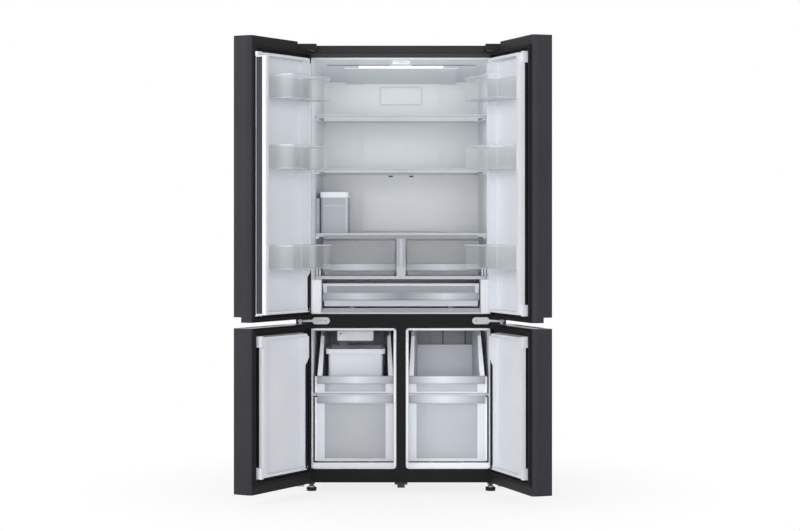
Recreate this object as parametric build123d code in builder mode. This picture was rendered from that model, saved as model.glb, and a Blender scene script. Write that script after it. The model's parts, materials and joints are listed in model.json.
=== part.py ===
from build123d import *

import math
import os

os.makedirs("parts", exist_ok=True)

# Cabinet: millimetres, x to the right, y to the rear, z up from the floor
case_width = 835
case_depth = 640
case_top = 1774
case_bottom = 38
steel = 1.2
liner_wall = 2.5
liner_flange = 12
board = 12
board_setback = 60
centre_foot_setback = 140
past = 1

# Front openings
side_flange = 61.5
top_flange = 48
rail_top = 708
rail_height = 57
divider_width = 38
base_rail_height = 54
frame_depth = 20
lip = 2

# Back panel ribs, and the louvres and cord gland of the machine room cover
panel_ribs = 3
panel_rib_height = 30
panel_rib_rise = 3
panel_rib_from_side = 117
louvre_columns = 7
louvre_rows = 5
louvre_width = 80
louvre_height = 10
louvre_pitch = 104
louvre_row_pitch = 36
louvre_rise = 50
gland_column = 2
gland_rise = 80
gland_radius = 14
gland_bore = 6
gland_length = 12

# Chassis, feet and rollers
pan_sheet = 2
pedestal_width = 52
pedestal_depth = 36
pad_width = 30
pad_height = 13
foot_from_side = 60
foot_setback = 45
foot_radius = 20
foot_height = 14
foot_neck_radius = 10
foot_neck = 8
foot_chamfer = 2
foot_boss_radius = 13
foot_boss = 12
stud_radius = 6
stud_rise = 20
roller_radius = 17
roller_width = 24
roller_from_side = 78
roller_from_back = 55
axle_radius = 5
axle_end = 12
ear = 4
ear_gap = 2
ear_width = 24
ear_drop = 30

# Machine room
machine_height = 300
machine_depth = 230
machine_wall = 45
compressor_from_side = 192
compressor_radius = 72
compressor_height = 170
compressor_round = 26
compressor_plate_width = 210
compressor_plate_depth = 124
compressor_plate = 12
compressor_plate_round = 20
compressor_mount = 14
compressor_mount_radius = 13
compressor_mount_inset = 19
compressor_pipe = 5
compressor_pipe_rise = 108
compressor_pipe_reach = 118
drain_pan_from_side = 62
drain_pan_end = 95
drain_pan_gap = 25
drain_pan_height = 20
drain_pan_wall = 3
drain_pan_round = 10
saddle_width = 16
saddle_depth = 60
saddle_inset = 15
fin = 1.5
fin_pitch = 9
condenser_height = 150
condenser_inset = 8
condenser_front_gap = 25
condenser_rear_gap = 35
condenser_tube = 6
condenser_rows = 3

# Fans
fan_radius = 52
condenser_fan_extra = 10
condenser_fan_gap = 85
condenser_fan_rise = 78
evaporator_fan_gap = 24
evaporator_fan_drop = 73
hub_radius = 16
hub_length = 20
hub_behind = 8
shaft_radius = 3
motor_radius = 22
evaporator_motor_radius = 20
motor_length = 35
motor_gap = 1.5
motor_foot = 60
motor_foot_sheet = 4
blades = 7
blade_chord = 18
blade_sheet = 1.6
blade_tilt = math.radians(35)

# Doors
door_gap = 12
door_thickness = 82
door_meeting_gap = 9
hinge_from_edge = 20
hinge_from_inner = 37
door_clear = 3.8
door_rise = 4
door_split_rise = 30.75
door_split_gap = 21.7
left_open = 120.4
right_open = 109.4
door_sheet = 1.5
door_round = 5
edge_bevel = 6
edge_bevel_reach = 18
grip_step = 20
grip_groove = 24
grip_wall = 14
grip_end = 24
notch_length = 95
notch_depth = 30

# Hinges
pin_radius = 6
pin_engage = 18
running_fit = 0.06
boss_radius = 9
boss_height = 26
boss_floor = 4
hinge_eye = 8.5
hinge_arm = 6
hinge_plate = 4
hinge_plate_width = 60
hinge_plate_inset = 15
hinge_arm_width = 30
cover_wall = 2
cover_inset = 9
cover_gap = 11
cover_front = 15
cover_rise = 2
cover_lift = 1.2
cover_round = 3
arm_thick = 8
middle_plate_length = 70
middle_plate_height = 27
middle_plate = 5
middle_plate_inset = 38
middle_plate_drop = 1
middle_arm_root = 18
middle_arm_near = 8
middle_eye = 10
bottom_arm_width = 28
bottom_arm_front = 12
bottom_arm_rear = 70

# Door liners, gaskets and bins
dyke_from_hinge = 66
dyke_inset = 10
upper_dyke = 40
lower_dyke = 30
dyke_band_hinge = 14
dyke_band_free = 27
dyke_draft = 4
dyke_round = 8
recess_floor = 6
recess_round = 6
gasket_height = 11.4
gasket_base = 6.8
gasket_width = 13
gasket_step = 1.5
gasket_from_hinge = 16
gasket_from_free = 4
gasket_overlap = 16
gasket_rail_overlap = 14
gasket_from_bottom = 2.2
bin_clear = 8
bin_height = 90
bin_wall = 2.5
bin_round = 14
bin_fit = 0.4
bin_lift = 1
bin_places = (0.168, 0.56, 0.835)
lug = 12

# Folding mullion, its brackets on the left door, and the tabs on the other liners
mullion_width = 48
mullion_thickness = 20
mullion_pivot = 5
mullion_pin = 2.5
mullion_pin_length = 15
mullion_end_gap = 25
mullion_front_gap = 0.6
mullion_clear = 4.5
mullion_round = 4.8
bracket_wall = 6
bracket_gap = 1
tab_height = 42
tab_reach = 10
tab_depth = 30
guide_gap = 6
guide_depth = 34
guide_width = 68
guide_slot_left = 9
guide_slot_right = 15
guide_slot_depth = 20
guide_slot_height = 12
guide_clear = 3
guide_pin = 3
guide_pin_rise = 8
guide_pin_along = 30
guide_pin_behind = 25
guide_arm = 4
guide_arm_width = 8

# Fridge compartment
fridge_rear_wall = 80
fridge_rear_inset = 24
fridge_rear_drop = 55
fridge_round = 12
shoulder_width = 34
shoulder_setback = 30
shelf_setback = 142
shelf_rear_gap = 40
middle_shelf_place = 0.409
top_shelf_place = 0.75
top_shelf_bar = 30
middle_shelf_bar = 18
cover_bar = 22
glass = 4
shelf_ring = 10
shelf_ring_width = 14
shelf_bar_depth = 12
shelf_bar_inset = 34
shelf_side_gap = 2
rib = 8
rib_reach = 14
rib_setback = 30
deck_rise = 131.5
deck = 12
deck_skin = 4
deck_rim = 60
deck_rim_front = 40
deck_rim_rear = 30
crisper_space = 174
post_width = 36
post_end = 20
duct_half = 232
duct_thick = 10
duct_edge = 4
duct_setback = 215
duct_panel_half = 165
duct_panel_rise = 6
vent_x = 44
vent_width = 18
vent_height = 6
vent_drop = 23
filter_width = 186
filter_height = 84
filter_drop = 18
filter_thick = 4
filter_round = 4
lamp_setback = 165
lamp_width = 340
lamp_depth = 24
lamp_height = 6
lamp_bevel = 4

# Fridge drawers and tank
drawer_gap = 3
slide_gap = 0.4
drawer_wall = 2.5
front_wall = 5
trim_height = 27
trim_depth = 11
crisper_head = 16.6
crisper_rear_gap = 17
crisper_trim_rise = 22
pantry_head = 18.1
pantry_trim_rise = 26
floor_rib = 21
floor_rib_width = 16
floor_rib_setback = 60
pantry_rib_x = 200
draft = 6
tank_width = 112
tank_depth = 300
tank_head = 73.6
tank_lid = 22
tank_setback = 24
tank_side_gap = 5
tank_wall = 3
tank_round = 10
lid_overhang = 2
lid_hinge = 30
lid_hinge_width = 4

# Freezer compartments
freezer_rear_wall = 140
freezer_rear_inset = 15
freezer_panel_gap = 70
freezer_panel = 4
freezer_panel_side_gap = 4
freezer_setback = 62
freezer_draw_gap = 32
freezer_low_gap = 11
freezer_side_gap = 18
freezer_taper = 36
freezer_wall_thick = 3
freezer_lift = 41
freezer_floor_gap = 20
freezer_stack_gap = 8
freezer_head = 20.5
upper_draw_front = 70
upper_draw_slope = 114
upper_draw_step = 67
low_draw_step = 27
trim_rim = 2
runner_reach = 22
runner_height = 10
runner_inset = 20
freezer_rib_places = (0.3, 0.7)
evaporator_thick = 50
evaporator_width = 216
evaporator_gap = 30
evaporator_fan_space = 28
evaporator_tube = 5
evaporator_rows = 4
evaporator_tube_step = 24
evaporator_tube_end = 8
slot_rows = 4
slot_columns = 3
slot_width = 60
slot_height = 8
slot_pitch = 88
slot_rise = 35
grille_bars = 12
grille_inner = 20
grille_outer = 46
grille_bar = 8

# Ice making
ice_maker_side = 80
ice_maker_height = 39
ice_maker_drop = 12
ice_maker_front = 8
ice_maker_rear = 68
ice_maker_round = 5
ice_mount_width = 100
ice_mount_inset = 22
ice_sensor = 3.5
ice_sensor_inset = 14
ice_sensor_drop = 12
ice_sensor_depth = 12
ice_bin_side_gap = 7.75
ice_bin_front = 48
ice_bin_rear = 48
ice_bin_wall = 3
ice_bin_round = 12
ice_rim = 5
ice_rim_height = 18

# Levels and planes that follow from the sizes above
half_width = case_width / 2
front = -centre_foot_setback
back = front + case_depth
open_half = half_width - side_flange
open_top = case_top - top_flange
rail_bottom = rail_top - rail_height
base_top = case_bottom + base_rail_height
chassis_top = case_bottom + pan_sheet
machine_front = back - machine_depth
step_top = machine_height + machine_wall
sides = (-1, 1)
turned = {-1: left_open, 1: right_open}
names = {-1: "left", 1: "right"}

door_length = (case_width - door_meeting_gap) / 2
hinge_x = half_width - hinge_from_edge
hinge_y = front - door_gap - hinge_from_inner
door_split = rail_bottom + door_split_rise
upper_door_top = case_top + door_rise
upper_door_bottom = door_split + door_split_gap / 2
lower_door_top = door_split - door_split_gap / 2
lower_door_bottom = case_bottom + door_clear
notch_floor = upper_door_top - notch_depth
grip_depth = door_thickness - hinge_from_inner - boss_radius

fridge_half = open_half - lip
fridge_floor = rail_top + liner_wall
fridge_ceiling = open_top - lip
fridge_depth = case_depth - fridge_rear_wall
fridge_rear = front + fridge_depth
deck_height = fridge_floor + deck_rise
deck_top = deck_height + deck
crisper_cover = deck_top + crisper_space
shelf_span = fridge_ceiling - fridge_rear_drop - crisper_cover
middle_shelf = crisper_cover + middle_shelf_place * shelf_span
top_shelf = crisper_cover + top_shelf_place * shelf_span
shelf_front = front + shelf_setback
shelf_rear = fridge_rear - shelf_rear_gap
shelves = ((top_shelf, top_shelf_bar), (middle_shelf, middle_shelf_bar), (crisper_cover, cover_bar))

freezer_near = divider_width / 2 + liner_wall
freezer_far = open_half - lip
freezer_floor = base_top + liner_wall
freezer_ceiling = rail_bottom - liner_wall
freezer_depth = case_depth - freezer_rear_wall
panel_front = front + freezer_depth - freezer_panel_gap
draw_front = front + freezer_setback
draw_near = freezer_near + freezer_side_gap / 2
draw_far = freezer_far - freezer_side_gap
freezer_draw_depth = panel_front - freezer_draw_gap - draw_front
low_draw_depth = machine_front - machine_wall - freezer_low_gap - draw_front
upper_draw_floor = step_top + freezer_lift
upper_draw_rise = freezer_ceiling - freezer_head - upper_draw_floor
upper_draw_back = upper_draw_rise - upper_draw_step
low_draw_floor = freezer_floor + freezer_floor_gap
low_draw_front = upper_draw_floor - freezer_stack_gap - low_draw_floor
low_draw_sides = low_draw_front - low_draw_step
evaporator_x = (freezer_near + freezer_far) / 2
evaporator_fan_z = freezer_ceiling - evaporator_fan_drop


def block(plane, x0, x1, y0, y1, z0, z1, mode=Mode.ADD, radius=0):
    """A box on a plane, with its upright edges rounded where a radius is given."""
    with BuildSketch(plane.offset(z0)) as outline:
        with Locations(((x0 + x1) / 2, (y0 + y1) / 2)):
            if radius:
                RectangleRounded(abs(x1 - x0), y1 - y0, radius)
            else:
                Rectangle(abs(x1 - x0), y1 - y0)
    extrude(outline.sketch, amount=z1 - z0, mode=mode)


def blocks(plane, places, width, depth, z0, z1, mode=Mode.ADD):
    """Equal boxes on a plane, in one step."""
    with BuildSketch(plane.offset(z0)) as outline:
        with Locations(*places):
            Rectangle(width, depth)
    extrude(outline.sketch, amount=z1 - z0, mode=mode)


def prism(plane, points, z0, z1, mode=Mode.ADD, inset=0):
    """A polygon on a plane, extruded between two heights."""
    with BuildSketch(plane.offset(z0)) as outline:
        with BuildLine():
            Polyline(*points, close=True)
        make_face()
        if inset:
            offset(amount=-inset, kind=Kind.INTERSECTION, mode=Mode.REPLACE)
    extrude(outline.sketch, amount=z1 - z0, mode=mode)


def rods(plane, places, z0, z1, radius, mode=Mode.ADD):
    """Equal cylinders on a plane between two heights."""
    with BuildSketch(plane.offset(z0)) as outline:
        with Locations(*places):
            Circle(radius)
    extrude(outline.sketch, amount=z1 - z0, mode=mode)


def rod(plane, x, y, z0, z1, radius, mode=Mode.ADD):
    """One cylinder on a plane between two heights."""
    rods(plane, [(x, y)], z0, z1, radius, mode)


def tub(near, far, mode=Mode.ADD):
    """A tapered hollow from a near to a far upright rectangle: x0, x1, z0, z1, y and radius."""
    sections = []
    for x0, x1, z0, z1, y, radius in (near, far):
        with BuildSketch(Plane.XZ.offset(-y)) as section:
            with Locations(((x0 + x1) / 2, (z0 + z1) / 2)):
                RectangleRounded(x1 - x0, z1 - z0, radius)
        sections.append(section.sketch)
    loft(sections, mode=mode)


def spread(count, first, last):
    """Evenly spaced places from the first to the last."""
    return [first + (last - first) * step / (count - 1) for step in range(count)]


def write(builder, name):
    """Labels a finished piece and writes its file."""
    builder.part.label = name
    export_step(builder.part, f"parts/{name}.step")


# Outer case: sides, top and front flange folded from one sheet
with BuildPart() as outer_case:
    block(Plane.XY, -half_width, half_width, front, back, case_bottom, case_top)
    block(Plane.XY, -half_width + steel, half_width - steel, front + steel, back + past,
          case_bottom - past, case_top - steel, Mode.SUBTRACT)
    block(Plane.XY, -open_half, open_half, front - past, front + 2 * steel, case_bottom - past, open_top,
          Mode.SUBTRACT)
write(outer_case, "outer_case")

# Back panel with pressed ribs, above the machine room
with BuildPart() as back_panel:
    block(Plane.XY, -half_width + steel, half_width - steel, back - steel, back,
          machine_height, case_top - steel)
    for level in range(1, panel_ribs + 1):
        rib_z = machine_height + level / (panel_ribs + 1) * (case_top - machine_height)
        rib_end = half_width - panel_rib_from_side
        block(Plane.XY, -rib_end, rib_end, back, back + panel_rib_rise, rib_z - panel_rib_height / 2,
              rib_z + panel_rib_height / 2)
write(back_panel, "back_panel")

# Insulation boards on the inside of both case sides, the top and the back
board_x = half_width - steel
board_y = back - steel
board_top = case_top - steel
board_bottom = machine_height + board_setback
with BuildPart() as insulation_panels:
    for side in sides:
        edges = sorted((side * board_x, side * (board_x - board)))
        block(Plane.XY, *edges, front + board_setback, board_y - board, board_bottom, board_top - board)
    block(Plane.XY, -board_x, board_x, board_y - board, board_y, board_bottom, board_top - board)
    block(Plane.XY, -board_x, board_x, front + board_setback, board_y, board_top - board, board_top)
write(insulation_panels, "insulation_panels")


def fridge_shape(grow):
    """The fridge hollow, or the outside of its liner when grown by the liner wall."""
    far_half = fridge_half - fridge_rear_inset
    tub((-fridge_half - grow, fridge_half + grow, fridge_floor - grow, fridge_ceiling + grow,
         front + steel, fridge_round + grow),
        (-far_half - grow, far_half + grow, fridge_floor - grow,
         fridge_ceiling - fridge_rear_drop + grow, fridge_rear + grow, fridge_round + grow))
    for side in sides:
        edges = sorted((side * (fridge_half - shoulder_width + grow), side * half_width))
        block(Plane.XY, *edges, front + shoulder_setback + grow, back, rail_bottom, deck_height - grow,
              Mode.SUBTRACT)


def wall_at(y):
    """Half width of the fridge hollow at a depth."""
    return fridge_half - fridge_rear_inset * (y - front - steel) / (fridge_depth - steel)


def ceiling_at(y):
    """Height of the fridge ceiling at a depth."""
    return fridge_ceiling - fridge_rear_drop * (y - front - steel) / (fridge_depth - steel)


with BuildPart() as fridge_hollow:
    fridge_shape(0)

# Fridge liner with its front flange, shelf ribs and pantry runners
rib_front = shelf_front + rib_setback
with BuildPart() as fridge_liner:
    fridge_shape(liner_wall)
    block(Plane.XY, -fridge_half - liner_flange, fridge_half + liner_flange, front + steel,
          front + steel + liner_wall, rail_top, fridge_ceiling + liner_flange)
    add(fridge_hollow.part, mode=Mode.SUBTRACT)
    for shelf_z, bar in shelves:
        rib_top = shelf_z - glass - shelf_ring
        for side in sides:
            prism(Plane.XY, [(side * wall_at(rib_front), rib_front),
                             (side * wall_at(shelf_rear), shelf_rear),
                             (side * (wall_at(shelf_rear) - rib_reach), shelf_rear),
                             (side * (wall_at(rib_front) - rib_reach), rib_front)],
                  rib_top - rib, rib_top)
    rib_start = shelf_front + floor_rib_setback
    blocks(Plane.XY, [(side * pantry_rib_x, (rib_start + shelf_rear) / 2) for side in sides], floor_rib_width,
           shelf_rear - rib_start, fridge_floor, fridge_floor + floor_rib)
write(fridge_liner, "fridge_liner")


def freezer_shape(side, grow):
    """One freezer hollow, or the outside of its liner; the machine room steps into its lower rear."""
    near_x = sorted((side * (freezer_near - grow), side * (freezer_far + grow)))
    far_x = sorted((side * (freezer_near + freezer_rear_inset - grow),
                    side * (freezer_far - freezer_rear_inset + grow)))
    tub((*near_x, freezer_floor - grow, freezer_ceiling + grow, front + steel, fridge_round + grow),
        (*far_x, freezer_floor - grow, freezer_ceiling + grow, front + freezer_depth + grow,
         fridge_round + grow))
    block(Plane.XY, near_x[0] - past, near_x[1] + past, machine_front - machine_wall + grow, back,
          case_bottom, step_top - grow, Mode.SUBTRACT)


def freezer_wall(y, inner):
    """Distance of a freezer's inner or outer side wall from the middle, at a depth."""
    share = (y - front - steel) / (freezer_depth - steel)
    if inner:
        return freezer_near + freezer_rear_inset * share
    return freezer_far - freezer_rear_inset * share


runner_front = draw_front + runner_inset
runner_rear = draw_front + freezer_draw_depth - runner_inset
runner_top = upper_draw_floor - slide_gap

with BuildPart() as freezer_hollows:
    for side in sides:
        freezer_shape(side, 0)

# Freezer liners with front flange, drawer runners and floor ribs
with BuildPart() as freezer_liners:
    for side in sides:
        freezer_shape(side, liner_wall)
        flange = sorted((side * (freezer_far - lip), side * (freezer_far + liner_flange)))
        block(Plane.XY, *flange, front + steel, front + steel + liner_wall, freezer_floor, freezer_ceiling)
    add(freezer_hollows.part, mode=Mode.SUBTRACT)
    for side in sides:
        for inner in (True, False):
            reach = runner_reach if inner else -runner_reach
            prism(Plane.XY, [(side * freezer_wall(runner_front, inner), runner_front),
                             (side * freezer_wall(runner_rear, inner), runner_rear),
                             (side * (freezer_wall(runner_rear, inner) + reach), runner_rear),
                             (side * (freezer_wall(runner_front, inner) + reach), runner_front)],
                  runner_top - runner_height, runner_top)
        rib_length = low_draw_depth - runner_inset - floor_rib_setback
        rib_middle = draw_front + floor_rib_setback + rib_length / 2
        rib_places = [(side * (draw_near + place * (draw_far - draw_near)), rib_middle)
                      for place in freezer_rib_places]
        blocks(Plane.XY, rib_places, floor_rib_width, rib_length, freezer_floor, low_draw_floor - slide_gap)
write(freezer_liners, "freezer_liners")


def frame_outline(inset):
    """Face of the front frame: centre rail, divider and base rail."""
    depth = frame_depth + past if inset else frame_depth
    with BuildSketch(Plane.XZ.offset(-front - depth)) as face:
        for z0, z1 in ((rail_bottom, rail_top), (case_bottom, base_top)):
            with Locations((0, (z0 + z1) / 2)):
                Rectangle(2 * (open_half - inset), z1 - z0 - 2 * inset)
        with Locations((0, (base_top + rail_bottom) / 2)):
            Rectangle(divider_width - 2 * inset, rail_bottom - base_top + 4 * inset)
    return face.sketch


# Front frame, a channel that is open to the rear
with BuildPart() as front_frame:
    extrude(frame_outline(0), amount=frame_depth)
    extrude(frame_outline(steel), amount=frame_depth + past - steel, mode=Mode.SUBTRACT)
write(front_frame, "front_frame")

# Chassis: base pan, machine room step, centre foot, foot bosses and roller ears
foot_x = half_width - foot_from_side
foot_y = front + foot_setback
foot_places = [(side * foot_x, foot_y) for side in sides]
roller_x = half_width - roller_from_side
roller_y = back - roller_from_back
ear_x = roller_width / 2 + ear_gap + ear / 2
ear_places = [(side * roller_x + step * ear_x, roller_y) for side in sides for step in sides]
with BuildPart() as chassis:
    block(Plane.XY, -half_width + steel, half_width - steel, front + frame_depth, back - steel,
          case_bottom, chassis_top)
    prism(Plane.YZ, [(machine_front, case_bottom), (machine_front, machine_height),
                     (back - steel, machine_height), (back - steel, machine_height - steel),
                     (machine_front + steel, machine_height - steel), (machine_front + steel, case_bottom)],
          -half_width + steel, half_width - steel)
    blocks(Plane.XY, [(0, 0)], pedestal_width, pedestal_depth, pad_height, case_bottom)
    blocks(Plane.XY, [(0, 0)], pad_width, pad_width, 0, pad_height)
    rods(Plane.XY, foot_places, case_bottom - foot_boss, chassis_top + foot_boss, foot_boss_radius)
    rods(Plane.XY, foot_places, 0, chassis_top + foot_boss + past, stud_radius + running_fit, Mode.SUBTRACT)
    blocks(Plane.XY, ear_places, ear, ear_width, case_bottom - ear_drop, case_bottom)
    rod(Plane.YZ, roller_y, roller_radius, -half_width, half_width, axle_radius + running_fit, Mode.SUBTRACT)
write(chassis, "chassis")

# Levelling feet
for side in sides:
    with BuildPart() as foot:
        rod(Plane.XY, side * foot_x, foot_y, 0, foot_height, foot_radius)
        rod(Plane.XY, side * foot_x, foot_y, foot_height, foot_height + foot_neck, foot_neck_radius)
        rod(Plane.XY, side * foot_x, foot_y, foot_height + foot_neck, chassis_top + stud_rise, stud_radius)
        chamfer(foot.edges().filter_by(GeomType.CIRCLE).group_by(Axis.Z)[0], foot_chamfer)
    write(foot, f"foot_{names[side]}")

# Rear rollers on one axle
axle_half = roller_x + roller_width / 2 + axle_end
with BuildPart() as rollers:
    rod(Plane.YZ, roller_y, roller_radius, -axle_half, axle_half, axle_radius)
    for side in sides:
        rod(Plane.YZ, roller_y, roller_radius, side * roller_x - roller_width / 2,
            side * roller_x + roller_width / 2, roller_radius)
write(rollers, "rollers")

# Machine room cover with louvres and a cord gland
gland_x = gland_column * louvre_pitch
gland_z = chassis_top + gland_rise
with BuildPart() as machine_cover:
    block(Plane.XY, -half_width + steel, half_width - steel, back - steel, back, chassis_top, machine_height)
    columns = [column - louvre_columns // 2 for column in range(louvre_columns)]
    louvre_places = [(column * louvre_pitch, chassis_top + louvre_rise + row * louvre_row_pitch)
                     for column in columns if column != gland_column for row in range(louvre_rows)]
    blocks(Plane.XZ, louvre_places, louvre_width, louvre_height, -back - past, -back + steel + past,
           Mode.SUBTRACT)
    rod(Plane.XZ, gland_x, gland_z, -back - gland_length, -back, gland_radius)
    rod(Plane.XZ, gland_x, gland_z, -back - gland_length - past, -back + steel + past, gland_bore,
        Mode.SUBTRACT)
write(machine_cover, "machine_cover")

# Compressor on its base plate and rubber mounts
compressor_x = half_width - compressor_from_side
compressor_y = (machine_front + back) / 2
plate_base = chassis_top + compressor_mount
shell_base = plate_base + compressor_plate - past
mount_x = compressor_plate_width / 2 - compressor_mount_inset
mount_y = compressor_plate_depth / 2 - compressor_mount_inset
with BuildPart() as compressor:
    rod(Plane.XY, compressor_x, compressor_y, shell_base, shell_base + compressor_height, compressor_radius)
    fillet(compressor.edges().filter_by(GeomType.CIRCLE), compressor_round)
    block(Plane.XY, compressor_x - compressor_plate_width / 2, compressor_x + compressor_plate_width / 2,
          compressor_y - compressor_plate_depth / 2, compressor_y + compressor_plate_depth / 2,
          plate_base, plate_base + compressor_plate, radius=compressor_plate_round)
    mount_places = [(compressor_x + side * mount_x, compressor_y + step * mount_y)
                    for side in sides for step in sides]
    rods(Plane.XY, mount_places, chassis_top, plate_base + past, compressor_mount_radius)
    rod(Plane.YZ, compressor_y, shell_base + compressor_pipe_rise, compressor_x - compressor_pipe_reach,
        compressor_x, compressor_pipe)
write(compressor, "compressor")

# Drain pan with two saddles for the condenser
pan_x0 = -half_width + drain_pan_from_side
pan_x1 = -drain_pan_end
pan_y0 = machine_front + drain_pan_gap
pan_y1 = back - drain_pan_gap
pan_top = chassis_top + drain_pan_height
with BuildPart() as drain_pan:
    block(Plane.XY, pan_x0, pan_x1, pan_y0, pan_y1, chassis_top, pan_top, radius=drain_pan_round)
    block(Plane.XY, pan_x0 + drain_pan_wall, pan_x1 - drain_pan_wall, pan_y0 + drain_pan_wall,
          pan_y1 - drain_pan_wall, chassis_top + drain_pan_wall, pan_top + past, Mode.SUBTRACT,
          drain_pan_round - drain_pan_wall)
    saddle_places = [(end, (pan_y0 + pan_y1) / 2) for end in (pan_x0 + saddle_inset, pan_x1 - saddle_inset)]
    blocks(Plane.XY, saddle_places, saddle_width, saddle_depth, chassis_top, pan_top)
write(drain_pan, "drain_pan")

# Condenser, a finned block on the drain pan's saddles
condenser_x0 = pan_x0 + condenser_inset
condenser_x1 = pan_x1 - condenser_inset
condenser_y0 = pan_y0 + condenser_front_gap
condenser_y1 = pan_y1 - condenser_rear_gap
tube_side = (condenser_y1 - condenser_y0) / condenser_rows
tube_rise = condenser_height / condenser_rows
with BuildPart() as condenser:
    fin_count = int((condenser_x1 - condenser_x0) / fin_pitch)
    fin_first = (condenser_x0 + condenser_x1) / 2 - (fin_count - 1) / 2 * fin_pitch
    fin_places = [(fin_first + step * fin_pitch, (condenser_y0 + condenser_y1) / 2)
                  for step in range(fin_count)]
    blocks(Plane.XY, fin_places, fin, condenser_y1 - condenser_y0, pan_top, pan_top + condenser_height)
    tube_places = [(condenser_y0 + (column + 0.5) * tube_side, pan_top + (row + 0.5) * tube_rise)
                   for row in range(condenser_rows) for column in range(condenser_rows)]
    rods(Plane.YZ, tube_places, condenser_x0, condenser_x1, condenser_tube)
write(condenser, "condenser")

# Evaporator behind the right freezer's back panel
evaporator_y = front + freezer_depth - evaporator_gap
evaporator_top = evaporator_fan_z - fan_radius - evaporator_fan_space
evaporator_rise = (evaporator_top - step_top) / evaporator_rows
with BuildPart() as evaporator:
    fin_count = int(evaporator_width / fin_pitch) + 1
    fin_first = evaporator_x - (fin_count - 1) / 2 * fin_pitch
    blocks(Plane.XY, [(fin_first + step * fin_pitch, evaporator_y) for step in range(fin_count)], fin,
           evaporator_thick, step_top, evaporator_top)
    tube_y = evaporator_tube_step / 2
    tube_places = [(evaporator_y + column * tube_y, step_top + (row + 0.5) * evaporator_rise)
                   for row in range(evaporator_rows) for column in sides]
    rods(Plane.YZ, tube_places, evaporator_x - evaporator_width / 2 - evaporator_tube_end,
         evaporator_x + evaporator_width / 2 + evaporator_tube_end, evaporator_tube)
write(evaporator, "evaporator")

# Fans: each a hub with tilted blades on its motor's shaft
condenser_fan_plane = Plane(origin=(pan_x1 + condenser_fan_gap, (pan_y0 + pan_y1) / 2,
                                    pan_top + condenser_fan_rise), x_dir=(0, 1, 0), z_dir=(-1, 0, 0))
evaporator_fan_plane = Plane(origin=(evaporator_x, panel_front + freezer_panel + evaporator_fan_gap,
                                     evaporator_fan_z), x_dir=(1, 0, 0), z_dir=(0, -1, 0))
hub_front = hub_length - hub_behind


def fan_rotor(plane, radius):
    """Hub and blades of one fan, turning about the plane's normal."""
    rod(plane, 0, 0, -hub_behind, hub_front, hub_radius)
    for blade in range(blades):
        turn = 2 * math.pi * blade / blades
        outward = plane.x_dir * math.cos(turn) + plane.y_dir * math.sin(turn)
        sideways = plane.y_dir * math.cos(turn) - plane.x_dir * math.sin(turn)
        tilted = plane.z_dir * math.cos(blade_tilt) + sideways * math.sin(blade_tilt)
        pitch = Plane(origin=plane.origin, x_dir=outward, z_dir=tilted)
        block(pitch, hub_radius - shaft_radius, radius, -blade_chord / 2, blade_chord / 2, past,
              past + blade_sheet)
    rod(plane, 0, 0, -hub_behind - past, hub_front + past, shaft_radius + running_fit, Mode.SUBTRACT)


with BuildPart() as condenser_fan:
    fan_rotor(condenser_fan_plane, fan_radius + condenser_fan_extra)
write(condenser_fan, "condenser_fan")

with BuildPart() as evaporator_fan:
    fan_rotor(evaporator_fan_plane, fan_radius)
write(evaporator_fan, "evaporator_fan")

# Fan motors with shafts; the lower one stands on a sheet foot, the upper one on the liner's rear wall
motor_face = -hub_behind - motor_gap
motor_rear = motor_face - motor_length
with BuildPart() as fan_motors:
    rod(condenser_fan_plane, 0, 0, motor_face, hub_front + past, shaft_radius)
    rod(condenser_fan_plane, 0, 0, motor_rear, motor_face, motor_radius)
    block(condenser_fan_plane, -motor_foot / 2, motor_foot / 2, -drain_pan_height - condenser_fan_rise,
          -motor_radius / 2, motor_rear, motor_rear + motor_foot_sheet)
    rod(evaporator_fan_plane, 0, 0, motor_face, hub_front + past, shaft_radius)
    rod(evaporator_fan_plane, 0, 0, -freezer_panel_gap + freezer_panel + evaporator_fan_gap, motor_face,
        evaporator_motor_radius)
write(fan_motors, "fan_motors")

# Freezer back panels with air slots; the right one has the fan grille
slot_base = step_top + slot_rise
slot_top = evaporator_top - slot_height
with BuildPart() as freezer_back_panels:
    for side in sides:
        edges = sorted((side * (freezer_wall(panel_front, True) + freezer_panel_side_gap),
                        side * (freezer_wall(panel_front, False) - freezer_panel_side_gap)))
        block(Plane.XZ.offset(-panel_front - freezer_panel), *edges, step_top, freezer_ceiling,
              0, freezer_panel, radius=fridge_round)
        slot_places = [(side * evaporator_x + (column - slot_columns // 2) * slot_pitch, level)
                       for column in range(slot_columns) for level in spread(slot_rows, slot_base, slot_top)]
        blocks(Plane.XZ.offset(-panel_front), slot_places, slot_width, slot_height, -freezer_panel - past,
               past, Mode.SUBTRACT)
    grille = Plane(origin=(evaporator_x, panel_front, evaporator_fan_z), x_dir=(1, 0, 0), z_dir=(0, -1, 0))
    with BuildSketch(grille.offset(past)) as grille_slots:
        with PolarLocations((grille_inner + grille_outer) / 2, grille_bars):
            Rectangle(grille_outer - grille_inner, grille_bar)
    extrude(grille_slots.sketch, amount=-freezer_panel - 2 * past, mode=Mode.SUBTRACT)
write(freezer_back_panels, "freezer_back_panels")

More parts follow.
